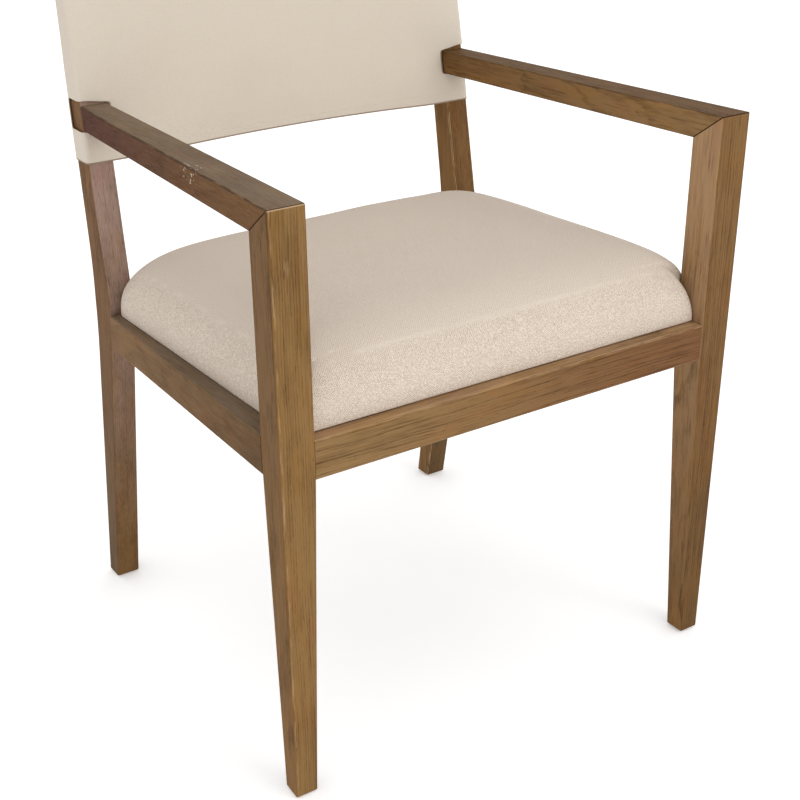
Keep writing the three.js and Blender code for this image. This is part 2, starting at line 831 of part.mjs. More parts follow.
const LAYER_BOTTOM = COVER_BOTTOM + 3;

function backFoam() {
  const rear = (height) => postFrontDepth(height) + BACK_FOAM;
  return backLayer(postFrontDepth, rear, LAYER_BOTTOM, POST_TOP);
}

function backBoard() {
  const front = (height) => postFrontDepth(height) + BACK_FOAM + FIT;
  const rear = (height) => front(height) + BACK_BOARD;
  return backLayer(front, rear, LAYER_BOTTOM, POST_TOP);
}

function backPanel() {
  const front = (height) => postRearDepth(height) - BACK_BOARD;
  return backLayer(front, postRearDepth, LAYER_BOTTOM, POST_TOP);
}

// The block of space inside the cover, grown outwards by the fabric.
function coverBlock(grow, low, high) {
  const points = [];
  for (const side of [-1, 1]) {
    for (const height of [low, high]) {
      const half = postOuterHalf(height) + grow;
      points.push(at(side, half, postFrontDepth(height) - grow, height));
      points.push(at(side, half, postRearDepth(height) + grow, height));
    }
  }
  return hull(points);
}

// The cut-out runs round the arm and on past the post's outer face.
function armCutOut(side) {
  const top = ARM_REAR_TOP + CUT_OUT_MARGIN;
  const low = ARM_REAR_TOP - ARM_REAR_THICKNESS - CUT_OUT_MARGIN;
  const inner = ARM_REAR_INNER_HALF - CUT_OUT_MARGIN;
  const outer = REAR_HALF_WIDTH + CUT_OUT_MARGIN;
  const middle = (inner + outer) / 2;
  const height = (low + top) / 2;
  return bar(
    at(side, middle, ARM_REAR_DEPTH - LEG_DEPTH, height),
    at(side, middle, postRearDepth(low) - 1, height),
    outer - inner, top - low,
  );
}

function backCover() {
  const openBelow = COVER_BOTTOM - 10;
  return coverBlock(FIT + COVER_THICKNESS, COVER_BOTTOM, TOTAL_HEIGHT)
    .subtract(coverBlock(FIT, openBelow, TOTAL_HEIGHT - COVER_THICKNESS))
    .subtract(armCutOut(-1))
    .subtract(armCutOut(1));
}

// ---------------------------------------------------------------------------
// Assembly
// ---------------------------------------------------------------------------

const chair = new THREE.Group();

function addPart(name, body, material) {
  const mesh = new THREE.Mesh(geometryOf(body), material);
  mesh.name = name;
  chair.add(mesh);
}

for (const [label, side] of [["left", -1], ["right", 1]]) {
  addPart(`front_leg_${label}`, frontLeg(side), materials.wood);
  addPart(`rear_leg_${label}`, rearLeg(side), materials.wood);
  addPart(`arm_${label}`, arm(side), materials.wood);
  addPart(`side_rail_${label}`, sideRail(side), materials.wood);
  addPart(`mitre_spline_${label}`, mitreSpline(side), materials.plywood);
  addPart(`arm_tenon_${label}`, armTenon(side), materials.hiddenWood);
  addPart(`front_glide_${label}`, glide(frontFootCentre(side)), materials.plastic);
  addPart(`rear_glide_${label}`, glide(rearFootCentre(side)), materials.plastic);
  for (const [end, block] of Object.entries(blocks)) {
    addPart(`${end}_corner_block_${label}`, cornerBlock(block, side), materials.hiddenWood);
    const seatScrew = screw(seatScrewAxis(block, side), SEAT_SCREW_LENGTH);
    addPart(`${end}_seat_screw_${label}`, seatScrew, materials.steel);
    for (const kind of ["across", "along"]) {
      const name = `${end}_block_screw_${kind}_${label}`;
      addPart(name, screw(blockScrewAxis(block, side, kind), RAIL_SCREW_LENGTH), materials.steel);
    }
  }
}

addPart("front_rail", frontRail(), materials.wood);
addPart("rear_rail", rearRail(), materials.wood);
addPart("back_top_rail", backRail(crossRails.backTop), materials.hiddenWood);
addPart("back_bottom_rail", backRail(crossRails.backBottom), materials.hiddenWood);
addPart("seat_board", seatBoard(), materials.plywood);
addPart("seat_foam", seatFoam(), materials.foam);
addPart("seat_cover", seatCover(), materials.linen);
addPart("dust_cover", dustCover(), materials.lining);
addPart("back_foam", backFoam(), materials.foam);
addPart("back_board", backBoard(), materials.hardboard);
addPart("back_panel", backPanel(), materials.hardboard);
addPart("back_cover", backCover(), materials.linen);

export default chair;
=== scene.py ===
"""Looks of a wooden armchair: stained open-grained timber, a crowned linen seat and a slip-on linen back.

Lengths are metres, +Z is up, the chair faces -Y and X = 0 is its mirror plane.
"Left" and "right" are as seen from the front.
"""

import math

import bmesh
import bpy
from mathutils import Matrix, Vector, noise


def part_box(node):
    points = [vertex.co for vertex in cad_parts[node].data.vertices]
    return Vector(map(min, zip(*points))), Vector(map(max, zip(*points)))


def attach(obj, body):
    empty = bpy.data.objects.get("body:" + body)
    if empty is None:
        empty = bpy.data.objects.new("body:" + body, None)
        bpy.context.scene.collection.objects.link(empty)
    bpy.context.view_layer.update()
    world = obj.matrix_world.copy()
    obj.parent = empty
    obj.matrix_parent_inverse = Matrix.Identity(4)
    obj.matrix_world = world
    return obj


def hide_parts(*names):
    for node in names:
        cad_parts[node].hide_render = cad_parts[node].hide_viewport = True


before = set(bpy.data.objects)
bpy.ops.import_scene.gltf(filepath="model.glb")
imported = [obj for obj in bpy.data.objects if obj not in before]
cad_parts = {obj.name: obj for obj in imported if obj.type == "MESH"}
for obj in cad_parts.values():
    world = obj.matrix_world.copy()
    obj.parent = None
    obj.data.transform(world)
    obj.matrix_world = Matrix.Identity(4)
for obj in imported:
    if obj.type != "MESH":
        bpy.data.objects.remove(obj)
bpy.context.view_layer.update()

# ---- Sizes ----

# The back posts' faces, as straight lines above their bend.
BEND_HEIGHT = 0.412
POST_FRONT = 0.1713
POST_FRONT_RAKE = 0.158
POST_REAR = 0.20965
POST_REAR_RAKE = 0.125
POST_OUTER = 0.270
POST_LEAN = 0.021

# The back cover
COVER_PROUD = 0.0022  # outside face beyond the posts
COVER_FABRIC = 0.0015
COVER_CORNER = 0.006
COVER_LOW = 0.5805
COVER_HIGH = 0.8798
CUT_OUT_LOW = 0.6165
CUT_OUT_HIGH = 0.6466
CUT_OUT_INNER = 0.2325
CUT_OUT_OUTER = 0.262
PULL_FROM = 0.235  # distance from X = 0 of the pulls over the cut-outs
CUT_OUT_LIFT = 0.0036  # how much higher the cut-out's top edge stands at its outer end
HEM = 0.013
HEM_BOW = 0.0055  # how much higher the lower edge is in the middle of the front and rear
HEM_BOW_REACH = 0.205
HEM_BOW_FADE = 0.09  # the height over which that bow fades out
LAZY_CREASE = 0.0011  # how far the broad and the small creases stand off
SMALL_CREASE = 0.0003
CUT_OUT_PULL = 0.0007  # the same for the pulls over the cut-outs
LOW_EDGE_WAVE = 0.0010

# The seat cushion
RAIL_TOP = 0.419
SEAT_SLOPE = 0.038
LEG_BACK = -0.2335  # rear faces of the front legs
CUSHION_FRONT = -0.2585
CUSHION_REAR = 0.1885
CUSHION_MIDDLE = (CUSHION_FRONT + CUSHION_REAR) / 2
CUSHION_REACH = (CUSHION_REAR - CUSHION_FRONT) / 2
CUSHION_SIDE = 0.265
CUSHION_SIDE_REAR = 0.259
CUSHION_BETWEEN_LEGS = 0.2485
CUSHION_BETWEEN_POSTS = 0.233
CUSHION_HEIGHT = 0.0885
CUSHION_RIM = 0.0034  # where the sides start to turn under
# The rings that turn the cushion's edge under: how far in from the rim, and how far above the rails.
UNDER_TURN = ((0.0001, 0.0018), (0.0005, 0.0008), (0.0014, 0.0002), (0.012, 0.0001), (0.045, 0.0001))
LEG_NOTCH = (LEG_BACK + 0.0003, LEG_BACK + 0.0016, LEG_BACK + 0.0028)  # where it widens behind the legs
POST_NOTCH = (POST_FRONT - 0.0036, POST_FRONT - 0.0020, POST_FRONT - 0.0004)  # where it narrows again
CROWN_SIDES = 6.4  # higher is squarer
CROWN_SHOULDER = 0.43  # lower is a fuller shoulder
FULL_SIDE = (0.14, 0.235)  # distances from X = 0 over which the fuller padding fades in
FULLER_HEIGHT = 0.075  # how much higher the padding is on the right, as a share
FULLER_WIDTH = 0.0035  # how much further it swells out there
PRESSED_WIDTH = 0.0060  # how far the left front corner swells towards its leg
PRESSED_DEPTH = (0.20, 0.235)  # distances in front of Y = 0 over which that swelling fades in
FRONT_CORNERS = (0.7, 0.5)  # how square the crown's left and right front corners are, from 0 to 1
CORNER_SQUARING = (0.3, 0.8)  # shares of the front half over which that squareness fades in
CUSHION_LINES = 56  # rows and columns of its mesh
NOTCH_CLEARANCE = 0.0014  # no other cross line lies nearer than this to a notch's lines
SOFT_SWELLS = ((9.0, 0.0014), (23.0, 0.0004))  # the padding's unevenness: how fine, and how high
PULL_BAND = (0.014, 0.016)  # how high above the rails the fabric is pulled, and how far that reaches
PULL_HEIGHT = 0.0003
CUSHION_SWELL = 0.0025  # the most a point may move in the simulation
SIMULATION_FRAMES = 20


def post_front(height):
    return POST_FRONT + (height - BEND_HEIGHT) * POST_FRONT_RAKE


def post_rear(height):
    return POST_REAR + (height - BEND_HEIGHT) * POST_REAR_RAKE


def post_outer(height):
    return POST_OUTER - (height - BEND_HEIGHT) * POST_LEAN


# ---- Material graphs ----


class Graph:
    """A material's node tree, written as expressions."""

    def __init__(self, name):
        self.material = bpy.data.materials.new(name)
        self.material.use_nodes = True
        self.tree = self.material.node_tree
        self.tree.nodes.clear()

    def plug(self, socket, value):
        if isinstance(value, bpy.types.NodeSocket):
            self.tree.links.new(value, socket)
        else:
            socket.default_value = value

    def node(self, kind, inputs=None, **settings):
        made = self.tree.nodes.new(kind)
        for key, value in settings.items():
            setattr(made, key, value)
        for key, value in (inputs or {}).items():
            self.plug(made.inputs[key], value)
        return made

    def math(self, operation, *values):
        made = self.node("ShaderNodeMath", operation=operation)
        for socket, value in zip(made.inputs, values):
            self.plug(socket, value)
        return made.outputs[0]

    def scaled(self, value, factor, offset=0.0):
        return self.math("MULTIPLY_ADD", value, factor, offset)

    def vector(self, x, y, z):
        return self.node("ShaderNodeCombineXYZ", {"X": x, "Y": y, "Z": z}).outputs[0]

    def split(self, vector):
        made = self.node("ShaderNodeSeparateXYZ", {"Vector": vector})
        return made.outputs["X"], made.outputs["Y"], made.outputs["Z"]

    def coordinates(self, kind="Object"):
        return self.split(self.node("ShaderNodeTexCoord").outputs[kind])

    def noise(self, vector, scale=1.0, detail=2.0, roughness=0.5):
        inputs = {"Vector": vector, "Scale": scale, "Detail": detail, "Roughness": roughness}
        return self.node("ShaderNodeTexNoise", inputs).outputs["Fac"]

    def band(self, value, low, high):
        """0 below low, 1 above high, with a smooth step between. With low above high it falls instead."""
        inputs = {"Value": value, "From Min": low, "From Max": high}
        made = self.node("ShaderNodeMapRange", inputs, interpolation_type="SMOOTHSTEP")
        return made.outputs["Result"]

    def mix(self, factor, first, second, blend="MIX"):
        made = self.node("ShaderNodeMix", data_type="RGBA", blend_type=blend)
        for socket, value in ((0, factor), (6, first), (7, second)):
            self.plug(made.inputs[socket], value)
        return made.outputs[2]

    def near(self, place, reach):
        """1 at a place, falling to 0 at a distance."""
        position = self.node("ShaderNodeTexCoord").outputs["Object"]
        inputs = {0: position, 1: place}
        distance = self.node("ShaderNodeVectorMath", inputs, operation="DISTANCE").outputs["Value"]
        return self.band(distance, reach, 0.0)

    def shade(self, colour, roughness, height, depth, **constants):
        """Ends the graph: height is in units of depth, a length."""
        bump = self.node("ShaderNodeBump", {"Height": height, "Distance": depth})
        shader = self.node("ShaderNodeBsdfPrincipled")
        self.plug(shader.inputs["Base Color"], colour)
        self.plug(shader.inputs["Roughness"], roughness)
        self.plug(shader.inputs["Normal"], bump.outputs[0])
        for name, value in constants.items():
            shader.inputs[name.replace("_", " ")].default_value = value
        output = self.node("ShaderNodeOutputMaterial")
        self.tree.links.new(shader.outputs[0], output.inputs["Surface"])
        return self.material


def tone(red, green, blue):
    """A colour with the usual 0 to 255 values, made linear."""
    return tuple((channel / 255) ** 2.2 for channel in (red, green, blue)) + (1.0,)


# ---- Timber ----

# Which object axes run along the grain, across the piece and through it.
GRAIN_ORDER = {"x": (0, 2, 1), "y": (1, 0, 2), "z": (2, 0, 1)}

STAIN = {
    "golden": tone(120, 92, 58),
    "umber": tone(114, 84, 48),
    "tan": tone(124, 98, 66),
    "straw": tone(152, 122, 92),
    "ash": tone(143, 120, 109),
    "brown": tone(112, 84, 54),
    "rust": tone(72, 38, 18),
    # painted sheen: a grey-brown standing in for the clear coat's reflection, used on top faces
    "painted_sheen_grey": tone(114, 97, 80),
    "chestnut": tone(104, 73, 49),
    "dull": tone(96, 71, 43),
    "bark": tone(92, 71, 47),
    "walnut": tone(103, 77, 48),
    "hazel": tone(106, 77, 50),
    "sienna": tone(101, 71, 40),
    "fawn": tone(129, 101, 69),
    "raw_birch": tone(205, 172, 126),
    "raw_pine": tone(196, 160, 112),
}
PALE_WOOD = tone(190, 160, 126)
DARK_WOOD = tone(52, 34, 22)
SCUFFED_WOOD = tone(196, 178, 158)
BROWN_SHADE = (0.50, 0.45, 0.40, 1.0)  # the stain where the pores soak it up, as a share of its colour
BRIGHT_SHADE = (1.17, 1.17, 1.15, 1.0)
GOLDEN_SHADE = (1.06, 0.98, 0.78, 1.0)
REDDISH_SHADE = (1.05, 0.93, 0.93, 1.0)

# Marks that run with the grain: width, length and how finely they break up.
FIBRE = (0.0013, 0.034, 3)
STREAK = (0.0050, 0.120, 3)
DARK_STREAK = (0.0021, 0.075, 2)
BLOTCH = (0.026, 0.090, 2)
PORE = (0.00085, 0.0090, 1)
GOLDEN_PATCH = (0.018, 0.090, 2)
REDDISH_PATCH = (0.022, 0.070, 2)
# breaks up the rounded edges' tint: the pale wear with its painted highlight, and the dark painted shade
EDGE_WEAR_AND_LIGHT_PATCH = (0.004, 0.020, 3)

PORE_DEPTH = 0.00018
TIMBER_SPECULAR = 0.06
EDGE_RADIUS = 0.0006


def board(run, pith, rings, contrast, seed, wander, edge, front, left, right, top):
    """How one timber piece looks.

    run is the axis along the grain; pith is where the tree's middle lay, across and through the piece;
    rings is the width of a year's growth; contrast is how strong the figure is; seed picks the figure;
    wander is how far the rings stray; edge is how pale its rounded edges are made, by wear and by a
    painted highlight; front, left, right and top are the colours of its faces, each at the grain's low
    and high end: their stains, with painted light and shade set per face. An edge below zero is
    darker than the faces instead, as painted shade along the edge.
    """
    return dict(
        run=run, pith=pith, rings=rings, contrast=contrast, seed=seed, wander=wander, edge=edge,
        front=front, left=left, right=right, top=top,
    )


def even(stain):
    return stain, stain


# The faces' colours are partly the wood's real stains and partly painted light and shade: the grey tops
# are a painted sheen, the left faces of the left-hand pieces are darker as painted shade, and the inner
# faces of the right front leg and right arm are lighter as painted light.
BOARDS = {
    "front_leg_left": board(
        "z", (0.080, -0.262), 0.0029, 1.10, 0.11, 0.0044, -0.15,
        even("golden"), ("umber", "walnut"), ("brown", "umber"), even("painted_sheen_grey"),
    ),
    "front_leg_right": board(
        "z", (-0.060, -0.262), 0.0034, 1.4, 1.93, 0.0100, -0.20,
        ("dull", "brown"), ("brown", "straw"), even("brown"), even("brown"),
    ),
    "rear_leg_left": board(
        "z", (0.10, 0.19), 0.0030, 0.9, 3.31, 0.0060, -0.10,
        ("walnut", "ash"), ("bark", "hazel"), even("dull"), even("dull"),
    ),
    "rear_leg_right": board(
        "z", (-0.10, 0.19), 0.0030, 0.9, 4.72, 0.0060, 0.60,
        ("bark", "brown"), ("brown", "umber"), even("dull"), even("dull"),
    ),
    "arm_left": board(
        "y", (0.02, 0.66), 0.0042, 0.40, 5.17, 0.0060, -0.80,
        even("umber"), ("sienna", "rust"), even("brown"), even("painted_sheen_grey"),
    ),
    "arm_right": board(
        "y", (-0.05, 0.60), 0.0032, 1.35, 6.43, 0.0100, -0.45,
        even("brown"), ("fawn", "brown"), even("brown"), even("dull"),
    ),
    "side_rail_left": board(
        "y", (0.02, 0.40), 0.0040, 0.65, 7.91, 0.0060, 0.04,
        even("brown"), ("dull", "brown"), even("brown"), even("painted_sheen_grey"),
    ),
    "side_rail_right": board(
        "y", (-0.02, 0.40), 0.0040, 0.5, 8.29, 0.0060, 0.10,
        even("brown"), even("brown"), even("brown"), even("brown"),
    ),
    "front_rail": board(
        "x", (0.020, -0.256), 0.0034, 1.5, 9.64, 0.0055, 0.42,
        ("tan", "chestnut"), even("brown"), even("brown"), even("straw"),
    ),
    "rear_rail": board(
        "x", (0.05, 0.19), 0.0036, 0.6, 10.83, 0.0050, 0.05,
        even("dull"), even("dull"), even("dull"), even("dull"),
    ),
}

CHECK_MARK = (-0.2749, -0.2735, 0.592)  # a small grain check in the left front leg
SCUFF_MARK = (-0.286, -0.102, 0.651)  # rubbed specks on the left arm
MITRE_EDGE = (-0.2735, 0.652)  # depth and height of the line where an arm's top meets its leg's front
MITRE_NORMAL = (0.5935, 0.8048)  # the mitre's plane, as shares of depth and height
# this corner carries a pale line, partly wear and partly a painted highlight
WORN_AND_HIGHLIT_CORNER = (-0.2886, -0.2735)  # the left front leg's outer corner, in plan


def growth(g, along, across, through, pith, rings, wander, seed):
    """Darkness of the porous wood that starts each year's ring."""
    slow = g.vector(g.scaled(across, 5), g.scaled(through, 5), g.scaled(along, 2.6, seed))
    drift_across = g.scaled(g.noise(slow, 1.0, 2), wander * 4, -wander * 2 - pith[0])
    drift_through = g.scaled(g.noise(slow, 1.37, 2), wander * 4, -wander * 2 - pith[1])
    a = g.math("ADD", across, drift_across)
    b = g.math("ADD", through, drift_through)
    radius = g.math("SQRT", g.math("ADD", g.math("MULTIPLY", a, a), g.math("MULTIPLY", b, b)))
    ripple_place = g.vector(g.scaled(across, 70), g.scaled(through, 70), g.scaled(along, 14, seed))
    ripple = g.noise(ripple_place, 1.0, 3)
    year = g.math("ADD", g.scaled(radius, 1 / rings), g.scaled(ripple, 1.5))
    phase = g.math("FRACT", year)
    strength = g.noise(g.vector(g.math("FLOOR", year), seed, 0.5), 3.1, 0)
    line = g.math("MULTIPLY", g.band(phase, 0.0, 0.10), g.band(phase, 0.62, 0.12))
    return g.math("MULTIPLY", line, g.scaled(g.band(strength, 0.3, 0.65), 0.78, 0.22))


def face_stain_and_light(g, look, along, reach):
    """The colour of whichever face this is, its stain with painted light and shade, blended from the
    grain's low end to its high end.
    """
    nx, ny, nz = g.coordinates("Normal")
    share = g.band(along, *reach)

    # each face's colour: its stain with painted light and shade
    def stain(face):
        low, high = look[face]
        return STAIN[low] if low == high else g.mix(share, STAIN[low], STAIN[high])

    colour = g.mix(g.band(nx, 0.4, 0.9), stain("front"), stain("right"))
    colour = g.mix(g.band(nx, -0.4, -0.9), colour, stain("left"))
    return g.mix(g.band(nz, 0.5, 0.9), colour, stain("top"))


def stained_timber(name, look, reach, edge_wear_and_painted_light=0.0):
    """Stained, open-grained hardwood for one piece; reach is its low and high end along the grain."""
    g = Graph(name)
    place = g.coordinates()
    along, across, through = (place[i] for i in GRAIN_ORDER[look["run"]])
    seed = look["seed"]
    contrast = look["contrast"]
    pore_wood = growth(g, along, across, through, look["pith"], look["rings"], look["wander"], seed)

    def marks(size, low, high):
        width, length, detail = size
        spot = g.vector(
            g.scaled(across, 1 / width),
            g.scaled(through, 1 / width),
            g.scaled(along, 1 / length, seed),
        )
        return g.band(g.noise(spot, 1.0, detail, 0.6), low, high)

    fibre = marks(FIBRE, 0.34, 0.66)
    streak = marks(STREAK, 0.32, 0.68)
    blotch = marks(BLOTCH, 0.30, 0.70)
    pores = g.math("MULTIPLY", marks(PORE, 0.54, 0.66), g.scaled(pore_wood, 0.75, 0.25))
    dark_streak = marks(DARK_STREAK, 0.56, 0.70)

    depth = g.scaled(pore_wood, 0.30 * contrast, 0.26 - 0.15 * contrast)
    for mark, weight in ((fibre, 0.24 * contrast), (streak, 0.26 * contrast), (blotch, 0.36)):
        depth = g.math("ADD", depth, g.scaled(mark, weight, -weight / 2))
    for mark, weight in ((dark_streak, 0.30 * contrast), (pores, 0.34 * contrast)):
        depth = g.math("ADD", depth, g.scaled(mark, weight))
    shade = g.mix(depth, BRIGHT_SHADE, BROWN_SHADE)
    colour = g.mix(1.0, face_stain_and_light(g, look, along, reach), shade, "MULTIPLY")
    golden = g.mix(1.0, colour, GOLDEN_SHADE, "MULTIPLY")
    reddish = g.mix(1.0, colour, REDDISH_SHADE, "MULTIPLY")
    colour = g.mix(g.scaled(marks(GOLDEN_PATCH, 0.48, 0.66), 0.6), colour, golden)
    colour = g.mix(g.scaled(marks(REDDISH_PATCH, 0.54, 0.70), 0.7), colour, reddish)
    if name.startswith(("front_leg", "arm")):
        colour = mitre_line(g, colour, place)
    if name.startswith("front_leg_left"):
        colour = corner_wear_and_highlights(g, check_mark(g, colour), place)
    if name.startswith("arm_left"):
        colour = scuffed(g, colour, place)
    # Rounded edges: above zero, paler with wear and a painted highlight; below zero, darker as a painted
    # shadow line.
    if edge_wear_and_painted_light:
        patchy = marks(EDGE_WEAR_AND_LIGHT_PATCH, 0.36, 0.60)
        colour = g.mix(g.scaled(patchy, abs(edge_wear_and_painted_light)), colour, PALE_WOOD if edge_wear_and_painted_light > 0 else DARK_WOOD)

    height = g.math("ADD", g.scaled(pores, -1.0), g.scaled(pore_wood, -0.3))
    height = g.math("ADD", height, g.scaled(fibre, 0.4))
    rough = g.math("ADD", g.scaled(pores, 0.15), g.scaled(fibre, 0.14, 0.46))
    return g.shade(colour, rough, height, PORE_DEPTH, Specular_IOR_Level=TIMBER_SPECULAR)


def mitre_line(g, colour, place):
    """The dark glue line where an arm is mitred to its front leg."""
    _, y, z = place
    slope_y, slope_z = MITRE_NORMAL
    off_y = g.scaled(y, slope_y, -slope_y * MITRE_EDGE[0])
    off_z = g.scaled(z, slope_z, -slope_z * MITRE_EDGE[1])
    off = g.math("ABSOLUTE", g.math("ADD", off_y, off_z))
    return g.mix(g.scaled(g.band(off, 0.0010, 0.0004), 0.8), colour, DARK_WOOD)


def check_mark(g, colour):
    """A short dark check in the grain with a pale eye beside it."""
    x, y, z = CHECK_MARK
    position = g.node("ShaderNodeTexCoord").outputs["Object"]

    def spot(place, height_share, reach):
        stretch = (1.0, 1.0, height_share)
        flat = g.node("ShaderNodeMapping", {"Vector": position, "Scale": stretch}).outputs[0]
        inputs = {0: flat, 1: (place[0], place[1], place[2] * height_share)}
        distance = g.node("ShaderNodeVectorMath", inputs, operation="DISTANCE").outputs["Value"]
        return g.band(distance, reach, reach * 0.3)

    colour = g.mix(g.scaled(spot((x + 0.001, y, z + 0.003), 0.45, 0.0050), 0.10), colour, PALE_WOOD)
    return g.mix(g.scaled(spot((x - 0.0012, y, z - 0.001), 0.25, 0.0017), 0.5), colour, DARK_WOOD)


def corner_wear_and_highlights(g, colour, place):
    """A pale wavering line along the leg's outer corner, partly wear and partly a painted highlight, and
    a painted highlight along its top edge.
    """
    x, y, z = place
    wobble = g.scaled(g.noise(g.vector(0.0, 0.0, g.scaled(z, 26)), 1.0, 3), 0.0060, -0.0030)
    off = g.math("ABSOLUTE", g.math("ADD", g.scaled(x, 1.0, -WORN_AND_HIGHLIT_CORNER[0]), wobble))
    front = g.band(y, WORN_AND_HIGHLIT_CORNER[1] + 0.003, WORN_AND_HIGHLIT_CORNER[1])
    line = g.math("MULTIPLY", g.band(off, 0.0015, 0.0), front)
    fading = g.band(g.noise(g.vector(0.0, 0.0, g.scaled(z, 24)), 1.0, 4), 0.40, 0.64)
    colour = g.mix(g.scaled(g.math("MULTIPLY", line, fading), 0.42), colour, PALE_WOOD)
    # painted highlight along the top edge of the leg's front
    rim = g.math("MULTIPLY", g.band(z, 0.6500, 0.6512), front)
    return g.mix(g.scaled(rim, 0.7), colour, PALE_WOOD)


def scuffed(g, colour, place):
    """Rubbed pale specks along the arm's outer edge."""
    x, y, z = place
    speck = g.noise(g.vector(x, g.scaled(y, 0.7), z), 330, 2)
    close = g.band(g.near(SCUFF_MARK, 0.032), 0.1, 0.6)
    specks = g.math("MULTIPLY", g.band(speck, 0.60, 0.65), close)
    return g.mix(g.scaled(specks, 0.8), colour, SCUFFED_WOOD)


def soften_edges(node):
    """Rounds a timber node's edges; the rounded faces take its second material, paler with wear and a
    painted highlight, or darker with painted shade, as its board's edge sets.
    """
    weld = node.modifiers.new("weld", "WELD")
    weld.merge_threshold = 1e-5
    merge = node.modifiers.new("merge", "DECIMATE")
    merge.decimate_type = "DISSOLVE"
    merge.angle_limit = math.radians(0.3)
    bevel = node.modifiers.new("bevel", "BEVEL")
    bevel.width = EDGE_RADIUS
    bevel.segments = 2
    bevel.limit_method = "ANGLE"
    bevel.angle_limit = math.radians(28)
    bevel.use_clamp_overlap = True
    bevel.material = 1


def set_materials(thing, *materials):
    thing.data.materials.clear()
    for material in materials:
        thing.data.materials.append(material)


def finish_timber():
    """Gives each stained piece its looks; the posts' stain runs only to where the cover hides them."""
    for name, look in BOARDS.items():
        low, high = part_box(name)
        axis = "xyz".index(look["run"])
        reach = (low[axis], COVER_LOW if name.startswith("rear_leg") else high[axis])
        face = stained_timber(name, look, reach)
        # the rounded edges' material: wear and painted highlight when pale, painted shade when dark
        edge = stained_timber(name + "_edge", look, reach, look["edge"])
        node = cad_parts[name]
        set_materials(node, face, edge)
        soften_edges(node)


# ---- Other materials ----


def raw_wood(name, run, stain, rings):
    """Planed timber with no stain, for blocks and hidden rails."""
    look = board(run, (0.05, 0.3), rings, 0.6, 2.7, 0.006, 0.0, *[even(stain)] * 4)
    return stained_timber(name, look, (0.0, 1.0))


def ply():
    """Plywood: a rotary-cut face with its plies showing at the edge."""
    g = Graph("plywood")
    x, y, z = g.coordinates()
    figure = g.noise(g.vector(g.scaled(x, 9), g.scaled(y, 60), g.scaled(z, 60)), 1.0, 4, 0.6)
    plies = g.math("SINE", g.scaled(z, 2 * math.pi / 0.003))
    colour = g.mix(g.band(figure, 0.35, 0.7), tone(206, 176, 130), tone(168, 132, 88))
    colour = g.mix(g.scaled(g.band(plies, 0.2, 0.6), 0.2), colour, tone(120, 86, 52))
    return g.shade(colour, 0.75, figure, 0.0002)


def hardboard():
    g = Graph("hardboard")
    spot = g.vector(*g.coordinates())
    flecks = g.noise(spot, 900, 4, 0.7)
    colour = g.mix(g.band(flecks, 0.35, 0.7), tone(126, 92, 62), tone(84, 58, 38))
    return g.shade(colour, 0.8, flecks, 0.00015)


def wadding():
    """Fibre padding laid over foam."""
    g = Graph("wadding")
    spot = g.vector(*g.coordinates())
    fluff = g.noise(spot, 260, 5, 0.7)
    clumps = g.noise(spot, 40, 3)
    colour = g.mix(g.band(fluff, 0.3, 0.7), tone(238, 232, 214), tone(206, 198, 176))
    colour = g.mix(g.scaled(clumps, 0.3), colour, tone(216, 205, 180))
    return g.shade(colour, 0.95, fluff, 0.0012, Sheen_Weight=0.2)


def zinc():
    """Plated steel with a faint brushed turn."""
    g = Graph("steel")
    spot = g.vector(*g.coordinates())
    smudge = g.noise(spot, 700, 3)
    scratch = g.noise(spot, 4200, 2)
    colour = g.mix(smudge, tone(188, 190, 190), tone(150, 152, 150))
    rough = g.scaled(scratch, 0.25, 0.22)
    return g.shade(colour, rough, scratch, 0.00003, Metallic=1.0)


def moulded_plastic():
    g = Graph("plastic")
    spot = g.vector(*g.coordinates())
    grain = g.noise(spot, 2200, 2)
    dust = g.noise(spot, 180, 3)
    colour = g.mix(g.band(dust, 0.45, 0.8), tone(60, 52, 45), tone(96, 87, 76))
    return g.shade(colour, g.scaled(grain, 0.2, 0.45), grain, 0.00005)


def nonwoven():
    """The black lining under the seat: pressed fibres with a dimpled bond pattern."""
    g = Graph("lining")
    x, y, z = g.coordinates()
    fibres = g.noise(g.vector(x, y, z), 1400, 4, 0.7)
    pitch = 2 * math.pi / 0.0022
    dimples = g.math("MULTIPLY", g.math("SINE", g.scaled(x, pitch)), g.math("SINE", g.scaled(y, pitch)))
    colour = g.mix(g.band(fibres, 0.35, 0.75), tone(38, 36, 34), tone(66, 63, 60))
    height = g.math("ADD", g.scaled(dimples, -0.5), g.scaled(fibres, 0.6))
    return g.shade(colour, 0.9, height, 0.0002, Sheen_Weight=0.15)


SEAT_CLOTH = tone(209, 196, 182)
COVER_CLOTH = tone(211, 200, 185)
COVER_EDGE_SHADOW_CLOTH = tone(150, 130, 112)  # the hem's folded lower edge, darkened as a painted shadow line
LINEN_SHADOW = (0.64, 0.59, 0.53, 1.0)  # between the yarns, as a share of the cloth's colour
LINEN_PALE = (1.12, 1.12, 1.11, 1.0)
YARN_DEPTH = 0.00022
SEAT_YARN = 0.00125  # spacing of the threads
COVER_YARN = 0.00055


def weave_on(g, u, v, salt, yarn):
    """Height of a plain weave over two directions, and how its yarns vary in thickness."""
    slack_u = g.noise(g.vector(g.scaled(u, 160), g.scaled(v, 26), salt), 1.0, 2)
    slack_v = g.noise(g.vector(g.scaled(u, 26), g.scaled(v, 160), salt + 4.0), 1.0, 2)
    phase_u = g.math("ADD", g.scaled(u, math.pi / yarn), g.scaled(slack_u, 3.4))
    phase_v = g.math("ADD", g.scaled(v, math.pi / yarn), g.scaled(slack_v, 3.4))
    crossing = g.math("MULTIPLY", g.math("COSINE", phase_u), g.math("COSINE", phase_v))
    slub_u = g.noise(g.vector(g.scaled(u, 640), g.scaled(v, 1500), salt + 8.0), 1.0, 2)
    slub_v = g.noise(g.vector(g.scaled(u, 1500), g.scaled(v, 640), salt + 12.0), 1.0, 2)
    return crossing, g.math("ADD", slub_u, slub_v)


